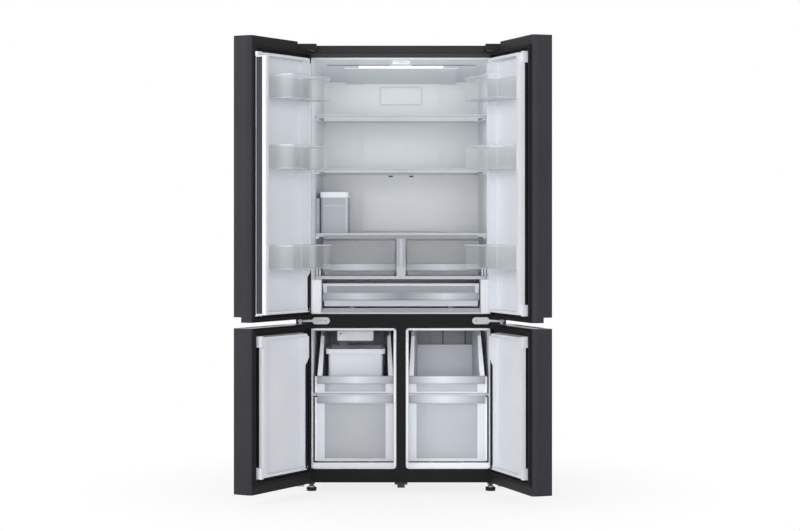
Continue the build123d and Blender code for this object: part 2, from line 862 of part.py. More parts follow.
# Fridge duct panel: upright panel on the rear wall and the flat duct under the ceiling
duct_front = front + duct_setback
duct_face = fridge_rear - duct_thick
rear_ceiling = ceiling_at(fridge_rear)
with BuildPart() as duct_panel:
    block(Plane.XY, -duct_panel_half, duct_panel_half, duct_face, fridge_rear,
          crisper_cover + duct_panel_rise, rear_ceiling)
    prism(Plane.YZ, [(duct_front, ceiling_at(duct_front)), (fridge_rear, rear_ceiling),
                     (fridge_rear, rear_ceiling - duct_thick),
                     (duct_front, ceiling_at(duct_front) - duct_edge)], -duct_half, duct_half)
    blocks(Plane.XZ, [(side * vent_x, middle_shelf - vent_drop) for side in sides], vent_width, vent_height,
           -fridge_rear - past, -duct_face + past, Mode.SUBTRACT)
write(duct_panel, "duct_panel")

filter_top = rear_ceiling - filter_drop
with BuildPart() as filter_cover:
    block(Plane.XZ.offset(-duct_face), -filter_width / 2, filter_width / 2, filter_top - filter_height,
          filter_top, 0, filter_thick, radius=filter_round)
write(filter_cover, "filter_cover")

# Lamp lens and mullion guide under the ceiling
lamp_front = front + lamp_setback
lamp_rear = lamp_front + lamp_depth
with BuildPart() as lamp_lens:
    prism(Plane.YZ, [(lamp_front, ceiling_at(lamp_front)), (lamp_rear, ceiling_at(lamp_rear)),
                     (lamp_rear - lamp_bevel, ceiling_at(lamp_rear) - lamp_height),
                     (lamp_front + lamp_bevel, ceiling_at(lamp_front) - lamp_height)],
          -lamp_width / 2, lamp_width / 2)
write(lamp_lens, "lamp_lens")

mullion_top = fridge_ceiling - mullion_end_gap
mullion_bottom = fridge_floor + mullion_end_gap / 2
guide_front = front + mullion_thickness + guide_gap
guide_rear = guide_front + guide_depth
with BuildPart() as mullion_guide:
    prism(Plane.YZ, [(guide_front, ceiling_at(guide_front)), (guide_rear, ceiling_at(guide_rear)),
                     (guide_rear, mullion_top + 2 * guide_clear), (guide_front, mullion_top + guide_clear)],
          -guide_width / 2, guide_width / 2)
    block(Plane.XY, -guide_slot_left, guide_slot_right, guide_front - past, guide_front + guide_slot_depth,
          mullion_top, mullion_top + guide_slot_height, Mode.SUBTRACT)
write(mullion_guide, "mullion_guide")


def shelf_plan(y0, y1):
    """Corners of a shelf that follows the tapering side walls."""
    near_x = wall_at(y0) - shelf_side_gap
    far_x = wall_at(y1) - shelf_side_gap
    return [(-near_x, y0), (near_x, y0), (far_x, y1), (-far_x, y1)]


# Shelf glasses and frames; the lowest covers the crispers and carries their centre post
glass_front = shelf_front + shelf_bar_depth
with BuildPart() as shelf_glasses:
    for shelf_z, bar in shelves:
        prism(Plane.XY, shelf_plan(glass_front, shelf_rear), shelf_z - glass, shelf_z)
write(shelf_glasses, "shelf_glasses")

with BuildPart() as shelf_frames:
    for shelf_z, bar in shelves:
        ring_z = shelf_z - glass - shelf_ring
        prism(Plane.XY, shelf_plan(glass_front, shelf_rear), ring_z, shelf_z - glass)
        prism(Plane.XY, shelf_plan(glass_front, shelf_rear), ring_z, shelf_z - glass, Mode.SUBTRACT,
              shelf_ring_width)
        prism(Plane.XY, shelf_plan(shelf_front, glass_front), ring_z, shelf_z)
        bar_end = wall_at(shelf_front) - shelf_side_gap - shelf_bar_inset
        block(Plane.XY, -bar_end, bar_end, shelf_front, glass_front, shelf_z - bar, ring_z)
    block(Plane.XY, -post_width / 2, post_width / 2, shelf_front, shelf_rear - post_end, deck_top,
          crisper_cover - glass - shelf_ring)
write(shelf_frames, "shelf_frames")

# Crisper deck on the liner's shoulders
with BuildPart() as crisper_deck:
    prism(Plane.XY, shelf_plan(shelf_front, shelf_rear), deck_height, deck_top)
    block(Plane.XY, -fridge_half + deck_rim, fridge_half - deck_rim, shelf_front + deck_rim_front,
          shelf_rear - deck_rim_rear, deck_height - past, deck_top - deck_skin, Mode.SUBTRACT)
write(crisper_deck, "crisper_deck")


def drafted(x0, x1, y0, y1, z0, z1, mode=Mode.ADD):
    """A box that widens upwards at its sides and rear by the draft."""
    sections = []
    for inset, level in ((draft, z0), (0, z1)):
        with BuildSketch(Plane.XY.offset(level)) as section:
            with Locations(((x0 + x1) / 2, (y0 + y1 - inset) / 2)):
                Rectangle(x1 - x0 - 2 * inset, y1 - inset - y0)
        sections.append(section.sketch)
    loft(sections, mode=mode)


def drawer(x0, x1, y0, depth, z0, height, trim_z):
    """A clear drawer with drafted walls and a front bar that carries the trim."""
    drafted(x0, x1, y0, y0 + depth, z0, z0 + height)
    drafted(x0 + drawer_wall, x1 - drawer_wall, y0 + front_wall, y0 + depth - drawer_wall,
            z0 + drawer_wall, z0 + height + past, Mode.SUBTRACT)
    block(Plane.XY, x0, x1, y0 - trim_depth, y0 + past, trim_z, trim_z + trim_height)


# Crispers and pantry drawer
crisper_front = shelf_front + trim_depth
crisper_depth = shelf_rear - crisper_rear_gap - crisper_front
crisper_floor = deck_top + slide_gap
crisper_height = crisper_cover - glass - shelf_ring - crisper_head - crisper_floor
crisper_near = post_width / 2 + drawer_gap
crisper_far = fridge_half - shoulder_width - drawer_gap
for side in sides:
    with BuildPart() as crisper:
        drawer(*sorted((side * crisper_near, side * crisper_far)), crisper_front, crisper_depth,
               crisper_floor, crisper_height, crisper_floor + crisper_trim_rise)
    write(crisper, f"crisper_{names[side]}")

pantry_floor = fridge_floor + floor_rib + slide_gap
pantry_height = deck_height - pantry_head - pantry_floor
with BuildPart() as pantry_drawer:
    drawer(-crisper_far, crisper_far, crisper_front, crisper_depth, pantry_floor, pantry_height,
           pantry_floor + pantry_trim_rise)
write(pantry_drawer, "pantry_drawer")

# Water tank and its lid, standing on the crisper cover
tank_x0 = -wall_at(shelf_rear) + tank_side_gap
tank_x1 = tank_x0 + tank_width
tank_y0 = shelf_front + tank_setback
tank_y1 = tank_y0 + tank_depth
tank_floor = crisper_cover + slide_gap
lid_top = middle_shelf - glass - shelf_ring - rib - tank_head
tank_top = lid_top - tank_lid
with BuildPart() as water_tank:
    block(Plane.XY, tank_x0, tank_x1, tank_y0, tank_y1, tank_floor, tank_top, radius=tank_round)
    block(Plane.XY, tank_x0 + tank_wall, tank_x1 - tank_wall, tank_y0 + tank_wall, tank_y1 - tank_wall,
          tank_floor + tank_wall, tank_top + past, Mode.SUBTRACT, tank_round - tank_wall)
write(water_tank, "water_tank")

lid_wall = tank_wall - lid_overhang
with BuildPart() as water_tank_lid:
    block(Plane.XY, tank_x0 - lid_overhang, tank_x1 + lid_overhang, tank_y0 - lid_overhang,
          tank_y1 + lid_overhang, tank_top, lid_top, radius=tank_round + lid_overhang)
    block(Plane.XY, tank_x0 + lid_wall, tank_x1 - lid_wall, tank_y0 + lid_wall, tank_y1 - lid_wall,
          tank_top - past, lid_top - tank_wall, Mode.SUBTRACT, tank_round - lid_wall)
    block(Plane.XY, tank_x0 + lid_wall, tank_x1 - lid_wall, tank_y0 + lid_hinge,
          tank_y0 + lid_hinge + lid_hinge_width, tank_top, lid_top)
write(water_tank_lid, "water_tank_lid")


def freezer_plan(side, depth):
    """Corners of a freezer drawer that narrows to the rear."""
    taper = freezer_taper * depth / freezer_draw_depth
    return [(side * draw_near, draw_front), (side * draw_far, draw_front),
            (side * (draw_far - taper), draw_front + depth), (side * (draw_near + taper), draw_front + depth)]


def freezer_drawer(side, depth, z0, front_rise, side_rise):
    """Tapered drawer box, its front bar for the trim and its floor."""
    top = z0 + max(front_rise, side_rise)
    prism(Plane.XY, freezer_plan(side, depth), z0, top)
    prism(Plane.XY, freezer_plan(side, depth), z0 + freezer_wall_thick, top + past, Mode.SUBTRACT,
          freezer_wall_thick)
    bar = sorted((side * draw_near, side * draw_far))
    block(Plane.XY, *bar, draw_front - trim_depth, draw_front + freezer_wall_thick,
          z0 + front_rise - trim_height - trim_rim, z0 + front_rise)


# Freezer drawers: the upper pair has sloping tall sides, the lower pair a tall front
for side in sides:
    span = sorted((side * draw_near, side * draw_far))
    front_top = upper_draw_floor + upper_draw_front
    top = upper_draw_floor + upper_draw_rise
    rear = draw_front + freezer_draw_depth
    corner = draw_front + 2 * freezer_wall_thick
    ahead = draw_front - 2 * trim_depth
    with BuildPart() as upper_drawer:
        freezer_drawer(side, freezer_draw_depth, upper_draw_floor, upper_draw_front, upper_draw_rise)
        prism(Plane.YZ, [(ahead, front_top), (corner, front_top), (corner + upper_draw_slope, top + past),
                         (ahead, top + past)], span[0] - past, span[1] + past, Mode.SUBTRACT)
        block(Plane.XY, span[0] + freezer_taper + freezer_wall_thick,
              span[1] - freezer_taper - freezer_wall_thick, rear - 2 * freezer_wall_thick, rear + past,
              upper_draw_floor + upper_draw_back, top + past, Mode.SUBTRACT)
    write(upper_drawer, f"freezer_drawer_upper_{names[side]}")
    with BuildPart() as lower_drawer:
        freezer_drawer(side, low_draw_depth, low_draw_floor, low_draw_front, low_draw_sides)
        block(Plane.XY, span[0] - past, span[1] + past, draw_front + freezer_wall_thick,
              draw_front + low_draw_depth + past, low_draw_floor + low_draw_sides,
              low_draw_floor + low_draw_front + past, Mode.SUBTRACT)
    write(lower_drawer, f"freezer_drawer_lower_{names[side]}")

# Ice maker under the left freezer's ceiling and the ice bin in the drawer below it
ice_x = -(draw_near + draw_far) / 2
ice_maker_width = draw_far - draw_near - 2 * ice_maker_side
ice_maker_top = freezer_ceiling - ice_maker_drop
ice_maker_y0 = draw_front + ice_maker_front
ice_maker_y1 = draw_front + freezer_draw_depth - ice_maker_rear
with BuildPart() as ice_maker:
    block(Plane.XY, ice_x - ice_maker_width / 2, ice_x + ice_maker_width / 2, ice_maker_y0, ice_maker_y1,
          ice_maker_top - ice_maker_height, ice_maker_top, radius=ice_maker_round)
    block(Plane.XY, ice_x - ice_mount_width / 2, ice_x + ice_mount_width / 2, ice_maker_y0 + ice_mount_inset,
          ice_maker_y1 - ice_mount_inset, ice_maker_top, freezer_ceiling)
    rod(Plane.XZ, ice_x - ice_maker_width / 2 + ice_sensor_inset, ice_maker_top - ice_sensor_drop,
        -ice_maker_y0 - ice_sensor_depth, -ice_maker_y0 + past, ice_sensor, Mode.SUBTRACT)
write(ice_maker, "ice_maker")

ice_floor = upper_draw_floor + freezer_wall_thick
ice_front = draw_front + ice_bin_front
ice_bin_depth = freezer_draw_depth - ice_bin_front - ice_bin_rear
ice_bin_width = draw_far - draw_near - 2 * freezer_taper - 2 * ice_bin_side_gap
ice_bin_height = upper_draw_back - freezer_wall_thick
ice_x0 = ice_x - ice_bin_width / 2
ice_x1 = ice_x + ice_bin_width / 2
ice_rear = ice_front + ice_bin_depth
ice_top = ice_floor + ice_bin_height
with BuildPart() as ice_bin:
    block(Plane.XY, ice_x0, ice_x1, ice_front, ice_rear, ice_floor, ice_top, radius=ice_bin_round)
    block(Plane.XY, ice_x0 - ice_rim, ice_x1 + ice_rim, ice_front - ice_rim, ice_rear + ice_rim,
          ice_top - ice_rim_height, ice_top, radius=ice_bin_round + ice_bin_wall)
    block(Plane.XY, ice_x0 + ice_bin_wall, ice_x1 - ice_bin_wall, ice_front + ice_bin_wall,
          ice_rear - ice_bin_wall, ice_floor + ice_bin_wall, ice_top + past, Mode.SUBTRACT,
          ice_bin_round - ice_bin_wall)
write(ice_bin, "ice_bin")


def door_plane(side):
    """Plane on a door's hinge line: x across the closed door, y into the cabinet, turned open."""
    turn = math.radians(side * turned[side])
    return Plane(origin=(side * hinge_x, hinge_y, 0), x_dir=(math.cos(turn), math.sin(turn), 0),
                 z_dir=(0, 0, 1))


def across(side, along):
    """Door plane's x for a distance along the door from its hinge edge."""
    return -side * (along - hinge_from_edge)


def door_block(side, u0, u1, w0, w1, z0, z1, mode=Mode.ADD, radius=0):
    """A box on a door: along it from the hinge edge, inward from its inner face, and in height."""
    block(door_plane(side), *sorted((across(side, u0), across(side, u1))), hinge_from_inner + w0,
          hinge_from_inner + w1, z0, z1, mode, radius)


def door_rod(side, u, w, z0, z1, radius, mode=Mode.ADD):
    """An upright cylinder on a door."""
    rod(door_plane(side), across(side, u), hinge_from_inner + w, z0, z1, radius, mode)


def door_loft(side, base, top, mode=Mode.ADD):
    """A tapered body on a door's inner face between two sections: u0, u1, z0, z1, w and radius."""
    plane = door_plane(side)
    sections = []
    for u0, u1, z0, z1, w, radius in (base, top):
        face = Plane(origin=plane.from_local_coords((0, hinge_from_inner + w, 0)), x_dir=plane.x_dir,
                     z_dir=-plane.y_dir)
        with BuildSketch(face) as section:
            with Locations(((across(side, u0) + across(side, u1)) / 2, (z0 + z1) / 2)):
                RectangleRounded(u1 - u0, z1 - z0, radius)
        sections.append(section.sketch)
    loft(sections, mode=mode)


def door_hull(side, z0, z1, inset):
    """Outside of a door's skin, or its inside when inset by the sheet."""
    with BuildSketch(door_plane(side).offset(z0 + inset)) as plan:
        outer = hinge_from_inner - door_thickness + inset
        inner = hinge_from_inner - inset
        hinge_edge = across(side, inset)
        free_edge = across(side, door_length - inset)
        bevel = across(side, door_length - inset - edge_bevel)
        with BuildLine():
            Polyline((hinge_edge, outer), (free_edge, outer), (free_edge, inner - edge_bevel_reach),
                     (bevel, inner), (hinge_edge, inner), close=True)
        make_face()
        fillet(plan.vertices().group_by(Axis.Y)[0], door_round)
    extrude(plan.sketch, amount=z1 - z0 - 2 * inset)


def upper_hull(side, inset):
    """Upper door with the hinge notch at the top and the grip step at the bottom."""
    door_hull(side, upper_door_bottom, upper_door_top, inset)
    door_block(side, -past, notch_length + inset, -door_thickness - past, past, notch_floor - inset,
               upper_door_top + past, Mode.SUBTRACT)
    door_block(side, -past, door_length + past, -door_thickness - past, -door_thickness + grip_depth + inset,
               upper_door_bottom - past, upper_door_bottom + grip_step + inset, Mode.SUBTRACT)


def lower_hull(side, inset):
    """Lower door with the grip groove in its top."""
    door_hull(side, lower_door_bottom, lower_door_top, inset)
    groove = -door_thickness + grip_wall
    door_block(side, notch_length - inset, door_length - grip_end + inset, groove - inset,
               groove + grip_groove + inset, lower_door_top - grip_groove - inset, lower_door_top + past,
               Mode.SUBTRACT)


def hinge_boss(side, z0, z1, bore):
    """Bush on the hinge line inside a door, bored for the hinge pin."""
    door_rod(side, hinge_from_edge, -hinge_from_inner, z0, z1, boss_radius)
    door_rod(side, hinge_from_edge, -hinge_from_inner, *bore, pin_radius + running_fit, Mode.SUBTRACT)


# Mullion place on the upper left door: its turning line and its folded box
mullion_u = half_width - mullion_width / 2 + mullion_pivot
mullion_w = door_gap + mullion_front_gap + mullion_pivot
fold_u0 = mullion_u - (mullion_thickness - mullion_pivot)
fold_u1 = mullion_u + mullion_pivot
fold_w0 = mullion_w - mullion_pivot
fold_w1 = fold_w0 + mullion_width

dyke_u0 = dyke_from_hinge
dyke_u1 = fold_u0 - mullion_clear
upper_dyke_z = (rail_top + dyke_inset, open_top - dyke_inset)
lower_dyke_z = (base_top + dyke_inset, rail_bottom - dyke_inset)
door_rows = (
    ("upper", upper_hull, upper_dyke_z, upper_dyke, upper_door_bottom, notch_floor),
    ("lower", lower_hull, lower_dyke_z, lower_dyke, lower_door_bottom, lower_door_top),
)

# Door skins: hollow steel shells with a window for the liner
for side in sides:
    for row, hull, dyke_z, dyke, boss_z0, boss_z1 in door_rows:
        with BuildPart() as skin_inside:
            hull(side, door_sheet)
        with BuildPart() as door_skin:
            hull(side, 0)
            add(skin_inside.part, mode=Mode.SUBTRACT)
            door_loft(side, (dyke_u0, dyke_u1, *dyke_z, -2 * door_sheet, dyke_round),
                      (dyke_u0, dyke_u1, *dyke_z, past, dyke_round), Mode.SUBTRACT)
            boss_end = boss_z0 + boss_height
            hinge_boss(side, boss_z0, boss_end, (boss_z0 - past, boss_end - boss_floor))
            boss_start = boss_z1 - boss_height
            hinge_boss(side, boss_start, boss_z1, (boss_start + boss_floor, boss_z1 + past))
        write(door_skin, f"{row}_{names[side]}_door")


def liner_hull(side, dyke_z, height, shrink):
    """Outside of a door liner's raised ring, shrunk for the hollow behind it."""
    top = shrink + dyke_draft
    door_loft(side, (dyke_u0 + shrink, dyke_u1 - shrink, dyke_z[0] + shrink, dyke_z[1] - shrink,
                     -door_sheet, dyke_round),
              (dyke_u0 + top, dyke_u1 - top, dyke_z[0] + top, dyke_z[1] - top, height - shrink, dyke_round))


def liner_recess(side, dyke_z, height, grow):
    """Recess of a door liner inside its ring, grown for the hollow behind it."""
    edges = (dyke_u0 + dyke_band_hinge - grow, dyke_u1 - dyke_band_free + grow,
             dyke_z[0] + dyke_band_hinge - grow, dyke_z[1] - dyke_band_hinge + grow)
    door_loft(side, (*edges, recess_floor - grow, recess_round), (*edges, height + past, recess_round),
              Mode.SUBTRACT)


bin_u0 = dyke_u0 + dyke_band_hinge + bin_fit
bin_u1 = dyke_u1 - dyke_band_free - bin_fit
bin_w0 = recess_floor + bin_lift
bin_reach = shelf_setback + door_gap - bin_clear
recess_z0 = upper_dyke_z[0] + dyke_band_hinge
recess_z1 = upper_dyke_z[1] - dyke_band_hinge
bin_levels = [recess_z0 + place * (recess_z1 - recess_z0) for place in bin_places]
bracket_w = mullion_w + bracket_wall
bracket_u = dyke_u1 - bracket_wall


def bin_lugs(side):
    """Lugs in an upper door liner's recess, two under each bin."""
    for level in bin_levels:
        for u0, u1 in ((bin_u0 - bin_fit, bin_u0 + lug), (bin_u1 - lug, bin_u1 + bin_fit)):
            door_block(side, u0, u1, recess_floor, upper_dyke - dyke_draft, level - lug, level)


def mullion_bracket(z0, z1, pin_z0):
    """A bracket at one end of the mullion, reaching over the gasket, with the mullion's turning pin."""
    inside_gasket = door_length - gasket_from_free - gasket_width - bracket_gap
    door_block(-1, bracket_u, inside_gasket, 0, bracket_w, z0, z1)
    door_block(-1, bracket_u, fold_u1, gasket_height + bracket_gap, bracket_w, z0, z1)
    door_rod(-1, mullion_u, mullion_w, pin_z0, pin_z0 + mullion_pin_length, mullion_pin)


def liner_tabs(side, dyke_z):
    """Tabs at both ends of a liner's free side."""
    for z0, z1 in ((dyke_z[1] - tab_height, dyke_z[1]), (dyke_z[0], dyke_z[0] + tab_height)):
        door_block(side, bracket_u, dyke_u1 + tab_reach, 0, tab_depth, z0, z1)


# Door liners, with lugs for the bins and brackets for the mullion
for side in sides:
    for row, hull, dyke_z, dyke, boss_z0, boss_z1 in door_rows:
        with BuildPart() as liner_void:
            liner_hull(side, dyke_z, dyke, liner_wall)
            liner_recess(side, dyke_z, dyke, liner_wall)
        with BuildPart() as door_liner:
            liner_hull(side, dyke_z, dyke, 0)
            liner_recess(side, dyke_z, dyke, 0)
            add(liner_void.part, mode=Mode.SUBTRACT)
            if row == "upper":
                bin_lugs(side)
            if row == "upper" and side == -1:
                mullion_bracket(mullion_top + bracket_gap, dyke_z[1],
                                mullion_top + bracket_gap - mullion_pin_length)
                mullion_bracket(dyke_z[0], mullion_bottom - bracket_gap, mullion_bottom - bracket_gap)
            else:
                liner_tabs(side, dyke_z)
        write(door_liner, f"{row}_{names[side]}_liner")

# Gaskets on the doors' inner faces
gasket_z = {"upper": (upper_door_bottom + gasket_from_bottom, open_top + gasket_overlap),
            "lower": (base_top - gasket_overlap, rail_bottom + gasket_rail_overlap)}
gasket_u1 = door_length - gasket_from_free
for side in sides:
    for row, (z0, z1) in gasket_z.items():
        with BuildPart() as gasket:
            door_block(side, gasket_from_hinge, gasket_u1, 0, gasket_base, z0, z1)
            door_block(side, gasket_from_hinge + gasket_step, gasket_u1 - gasket_step, gasket_base,
                       gasket_height, z0 + gasket_step, z1 - gasket_step)
            door_block(side, gasket_from_hinge + gasket_width, gasket_u1 - gasket_width, -past,
                       gasket_height + past, z0 + gasket_width, z1 - gasket_width, Mode.SUBTRACT)
        write(gasket, f"{row}_{names[side]}_gasket")

# Clear door bins, three on each upper door
for side in sides:
    for place, level in zip(("low", "middle", "high"), bin_levels):
        with BuildPart() as door_bin:
            door_block(side, bin_u0, bin_u1, bin_w0, bin_reach, level, level + bin_height, radius=bin_round)
            door_block(side, bin_u0 + bin_wall, bin_u1 - bin_wall, bin_w0 + bin_wall, bin_reach - bin_wall,
                       level + bin_wall, level + bin_height + past, Mode.SUBTRACT, bin_round - bin_wall)
        write(door_bin, f"{names[side]}_bin_{place}")

# Folding mullion on the upper left door, with the pin that the ceiling guide turns it by
with BuildPart() as mullion:
    door_block(-1, fold_u0, fold_u1, fold_w0, fold_w1, mullion_bottom, mullion_top)
    fillet(mullion.edges().filter_by(Axis.Z), mullion_round)
    for bore_z0, bore_z1 in ((mullion_bottom - past, mullion_bottom + mullion_pin_length),
                             (mullion_top - mullion_pin_length, mullion_top + past)):
        door_rod(-1, mullion_u, mullion_w, bore_z0, bore_z1, mullion_pin + running_fit, Mode.SUBTRACT)
    guide_u = mullion_u - guide_pin_behind
    guide_w = mullion_w + guide_pin_along
    door_block(-1, guide_u - guide_arm_width / 2, mullion_u, guide_w - guide_arm_width / 2,
               guide_w + guide_arm_width / 2, mullion_top - guide_arm, mullion_top)
    door_rod(-1, guide_u, guide_w, mullion_top - guide_arm, mullion_top + guide_pin_rise, guide_pin)
write(mullion, "mullion")

# Hinges: each pin stands on a hinge line that an upper and a lower door share
top_arm_z = notch_floor + door_clear
with BuildPart() as top_hinges:
    for side in sides:
        plate_x = half_width - hinge_plate_inset
        plate = sorted((side * plate_x, side * (plate_x - hinge_plate_width)))
        block(Plane.XY, *plate, front - hinge_plate, front, top_arm_z, case_top - cover_wall)
        arm = sorted((side * (hinge_x + hinge_eye), side * (hinge_x - hinge_arm_width)))
        block(Plane.XY, *arm, hinge_y, front, top_arm_z, top_arm_z + hinge_arm)
        rod(Plane.XY, side * hinge_x, hinge_y, top_arm_z, top_arm_z + hinge_arm, hinge_eye)
        rod(Plane.XY, side * hinge_x, hinge_y, notch_floor - pin_engage, top_arm_z, pin_radius)
write(top_hinges, "top_hinges")

cover_base = notch_floor + cover_lift
cover_top = case_top + cover_rise
with BuildPart() as hinge_covers:
    for side in sides:
        span = sorted((side * (half_width - cover_inset), side * (half_width - notch_length + cover_gap)))
        block(Plane.XY, *span, hinge_y - cover_front, front, cover_base, cover_top, radius=cover_round)
        block(Plane.XY, span[0] + cover_wall, span[1] - cover_wall, hinge_y - cover_front + cover_wall,
              front + past, cover_base - past, cover_top - cover_wall, Mode.SUBTRACT)
write(hinge_covers, "hinge_covers")

with BuildPart() as middle_hinges:
    for side in sides:
        plate_x = open_half - middle_plate_inset
        with BuildSketch(Plane.XZ.offset(-front)) as plate:
            with Locations((side * plate_x, door_split - middle_plate_drop)):
                SlotOverall(middle_plate_length, middle_plate_height)
        extrude(plate.sketch, amount=middle_plate)
        arm_z = (door_split - arm_thick / 2, door_split + arm_thick / 2)
        prism(Plane.XY, [(side * (plate_x - middle_arm_near), front),
                         (side * (plate_x - middle_arm_near), front - middle_plate),
                         (side * (hinge_x - middle_eye), hinge_y), (side * (hinge_x + middle_eye), hinge_y),
                         (side * (open_half + lip), front), (side * (plate_x + middle_arm_root), front)],
              *arm_z)
        rod(Plane.XY, side * hinge_x, hinge_y, *arm_z, middle_eye)
        rod(Plane.XY, side * hinge_x, hinge_y, lower_door_top - pin_engage, upper_door_bottom + pin_engage,
            pin_radius)
write(middle_hinges, "middle_hinges")

with BuildPart() as bottom_hinges:
    for side in sides:
        block(Plane.XY, side * hinge_x - bottom_arm_width / 2, side * hinge_x + bottom_arm_width / 2,
              hinge_y - bottom_arm_front, front + bottom_arm_rear, case_bottom - arm_thick, case_bottom)
        rod(Plane.XY, side * hinge_x, hinge_y, case_bottom, lower_door_bottom + pin_engage, pin_radius)
write(bottom_hinges, "bottom_hinges")
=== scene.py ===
import json
import math

import bmesh
import bpy
from mathutils import Matrix, Vector


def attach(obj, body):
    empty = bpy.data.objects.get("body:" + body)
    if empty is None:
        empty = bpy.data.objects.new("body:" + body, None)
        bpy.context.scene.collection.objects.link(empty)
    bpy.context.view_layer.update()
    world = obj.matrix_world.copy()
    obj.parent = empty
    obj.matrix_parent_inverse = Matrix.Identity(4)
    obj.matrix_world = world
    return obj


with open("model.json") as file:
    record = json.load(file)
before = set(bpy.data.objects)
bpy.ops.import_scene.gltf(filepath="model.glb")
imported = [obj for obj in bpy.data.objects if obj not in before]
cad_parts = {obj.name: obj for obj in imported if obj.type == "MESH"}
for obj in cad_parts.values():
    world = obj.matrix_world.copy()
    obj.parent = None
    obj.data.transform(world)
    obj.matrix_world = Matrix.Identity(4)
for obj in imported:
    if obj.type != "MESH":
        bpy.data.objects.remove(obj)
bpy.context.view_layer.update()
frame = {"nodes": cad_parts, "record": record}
nodes = frame["nodes"]
MM = 0.001

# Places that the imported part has, in millimetres
HALF = 417.5
FRONT = -140.0
DOOR_INNER = -152.0
HINGE_X, HINGE_Y = 397.5, -189.0
OPEN = {-1: math.radians(120.4), 1: math.radians(109.4)}
SIDES = {-1: "left", 1: "right"}
CEILING, CEILING_FALL, FRIDGE_DEPTH = 1724.0, 55.0, 560.0
LINER_CREST, LINER_DRAFT = {"upper": 40.0, "lower": 30.0}, 4.0
CREST_U = 69.8
BIN_U, BIN_REACH, BIN_FLOORS = (80.4, 351.6), 146.0, (894.96, 1275.2, 1541.95)
SHELF_FRONT = 2.0
DECK_TOP = 855.0
POST_Z = (892.0, 1005.0)
TANK_FRONT = 26.0
FREEZER_HEAD, FREEZER_FAR = 648.0, 352.0
DRAWER_FRONT, DRAWER_FAR, DRAWER_DEPTH, DRAWER_TAPER = -78.0, 336.0, 336.0, 36.0
ICE_FACE = -70.0
BACK = 500.0


# Shader nodes

def lin(rgb):
    """An 8-bit colour as linear light."""
    return tuple(((c / 255 + 0.055) / 1.055) ** 2.4 for c in rgb) + (1.0,)


def feed(tree, made, inputs):
    """Sets a shader node's inputs; each is a plain value, or a socket that is linked to it."""
    for key, value in inputs.items():
        if isinstance(value, bpy.types.NodeSocket):
            tree.links.new(value, made.inputs[key])
        else:
            made.inputs[key].default_value = value


def node(tree, kind, inputs=None, **settings):
    """Adds a shader node of a kind, with its settings and inputs."""
    made = tree.nodes.new(f"ShaderNode{kind}")
    for name, value in settings.items():
        setattr(made, name, value)
    feed(tree, made, inputs or {})
    return made


def calc(tree, operation, *values):
    """Works a sum on values and sockets."""
    return node(tree, "Math", dict(enumerate(values)), operation=operation).outputs["Value"]


def mix(tree, factor, a, b):
    """Mixes two colours."""
    return node(tree, "Mix", {"Factor": factor, "A": a, "B": b}, data_type="RGBA").outputs["Result"]


def ramp(tree, value, low, high, start=0.0, end=1.0):
    """Maps a value that runs from start to end onto the range from low to high."""
    inputs = {"Value": value, "From Min": start, "From Max": end, "To Min": low, "To Max": high}
    return node(tree, "MapRange", inputs).outputs["Result"]


def axes(tree, kind, output):
    """Splits the place or normal that a node of a kind puts out into X, Y and Z."""
    return node(tree, "SeparateXYZ", {"Vector": node(tree, kind).outputs[output]}).outputs


def within(tree, value, low, high):
    """Is 1 where a place lies between two others, given in millimetres, and 0 elsewhere."""
    return calc(tree, "COMPARE", value, (low + high) / 2 * MM, (high - low) / 2 * MM)


# Materials

NOISE = (0.3, 0.7)


def surface(name, deep, pale, patch, grain, rough, bump, stretch=(1, 1, 1), **constants):
    """A principled material whose colour, roughness and fine relief come from two noises.

    A stretch under 1 draws the fine noise out along that axis, as a grain."""
    m = bpy.data.materials.new(name)
    m.use_nodes = True
    tree = m.node_tree
    place = node(tree, "TexCoord").outputs["Object"]
    drawn = node(tree, "Mapping", {"Vector": place, "Scale": stretch}).outputs["Vector"]
    broad = node(tree, "TexNoise", {"Vector": place, "Scale": patch, "Detail": 4}).outputs["Fac"]
    fine = node(tree, "TexNoise", {"Vector": drawn, "Scale": grain, "Detail": 3}).outputs["Fac"]
    share = calc(tree, "MULTIPLY_ADD", fine, 0.3, ramp(tree, broad, 0.0, 0.7, *NOISE))
    relief = node(tree, "Bump", {"Strength": bump, "Distance": 0.0005, "Height": fine})
    feed(tree, tree.nodes["Principled BSDF"], {
        "Base Color": mix(tree, share, lin(deep), lin(pale)),
        "Roughness": ramp(tree, fine, *rough, *NOISE),
        "Normal": relief.outputs["Normal"],
        **{socket.replace("_", " "): value for socket, value in constants.items()},
    })
    return m


def tinted(m, factor, tint):
    """Lays a tint over a material's colour where a factor is high."""
    shader = m.node_tree.nodes["Principled BSDF"]
    colour = shader.inputs["Base Color"].links[0].from_socket
    feed(m.node_tree, shader, {"Base Color": mix(m.node_tree, factor, colour, lin(tint))})


def front_band(m, z0, z1, tint, front):
    """Tints the part of a front face that lies between two heights."""
    tree = m.node_tree
    place = axes(tree, "TexCoord", "Object")
    ahead = calc(tree, "LESS_THAN", place["Y"], front * MM)
    tinted(m, calc(tree, "MULTIPLY", within(tree, place["Z"], z0, z1), ahead), tint)


def inner_face_tint(m, tint):
    """Darkens the inner faces of the doors, which are known by their normals at rest."""
    tree = m.node_tree
    normal = node(tree, "TexCoord").outputs["Normal"]
    along = []
    for side, angle in OPEN.items():
        inward = (-side * math.sin(angle), math.cos(angle), 0)
        dot = node(tree, "VectorMath", {0: normal, 1: inward}, operation="DOT_PRODUCT")
        along.append(dot.outputs["Value"])
    tinted(m, calc(tree, "GREATER_THAN", calc(tree, "MAXIMUM", *along), 0.95), tint)


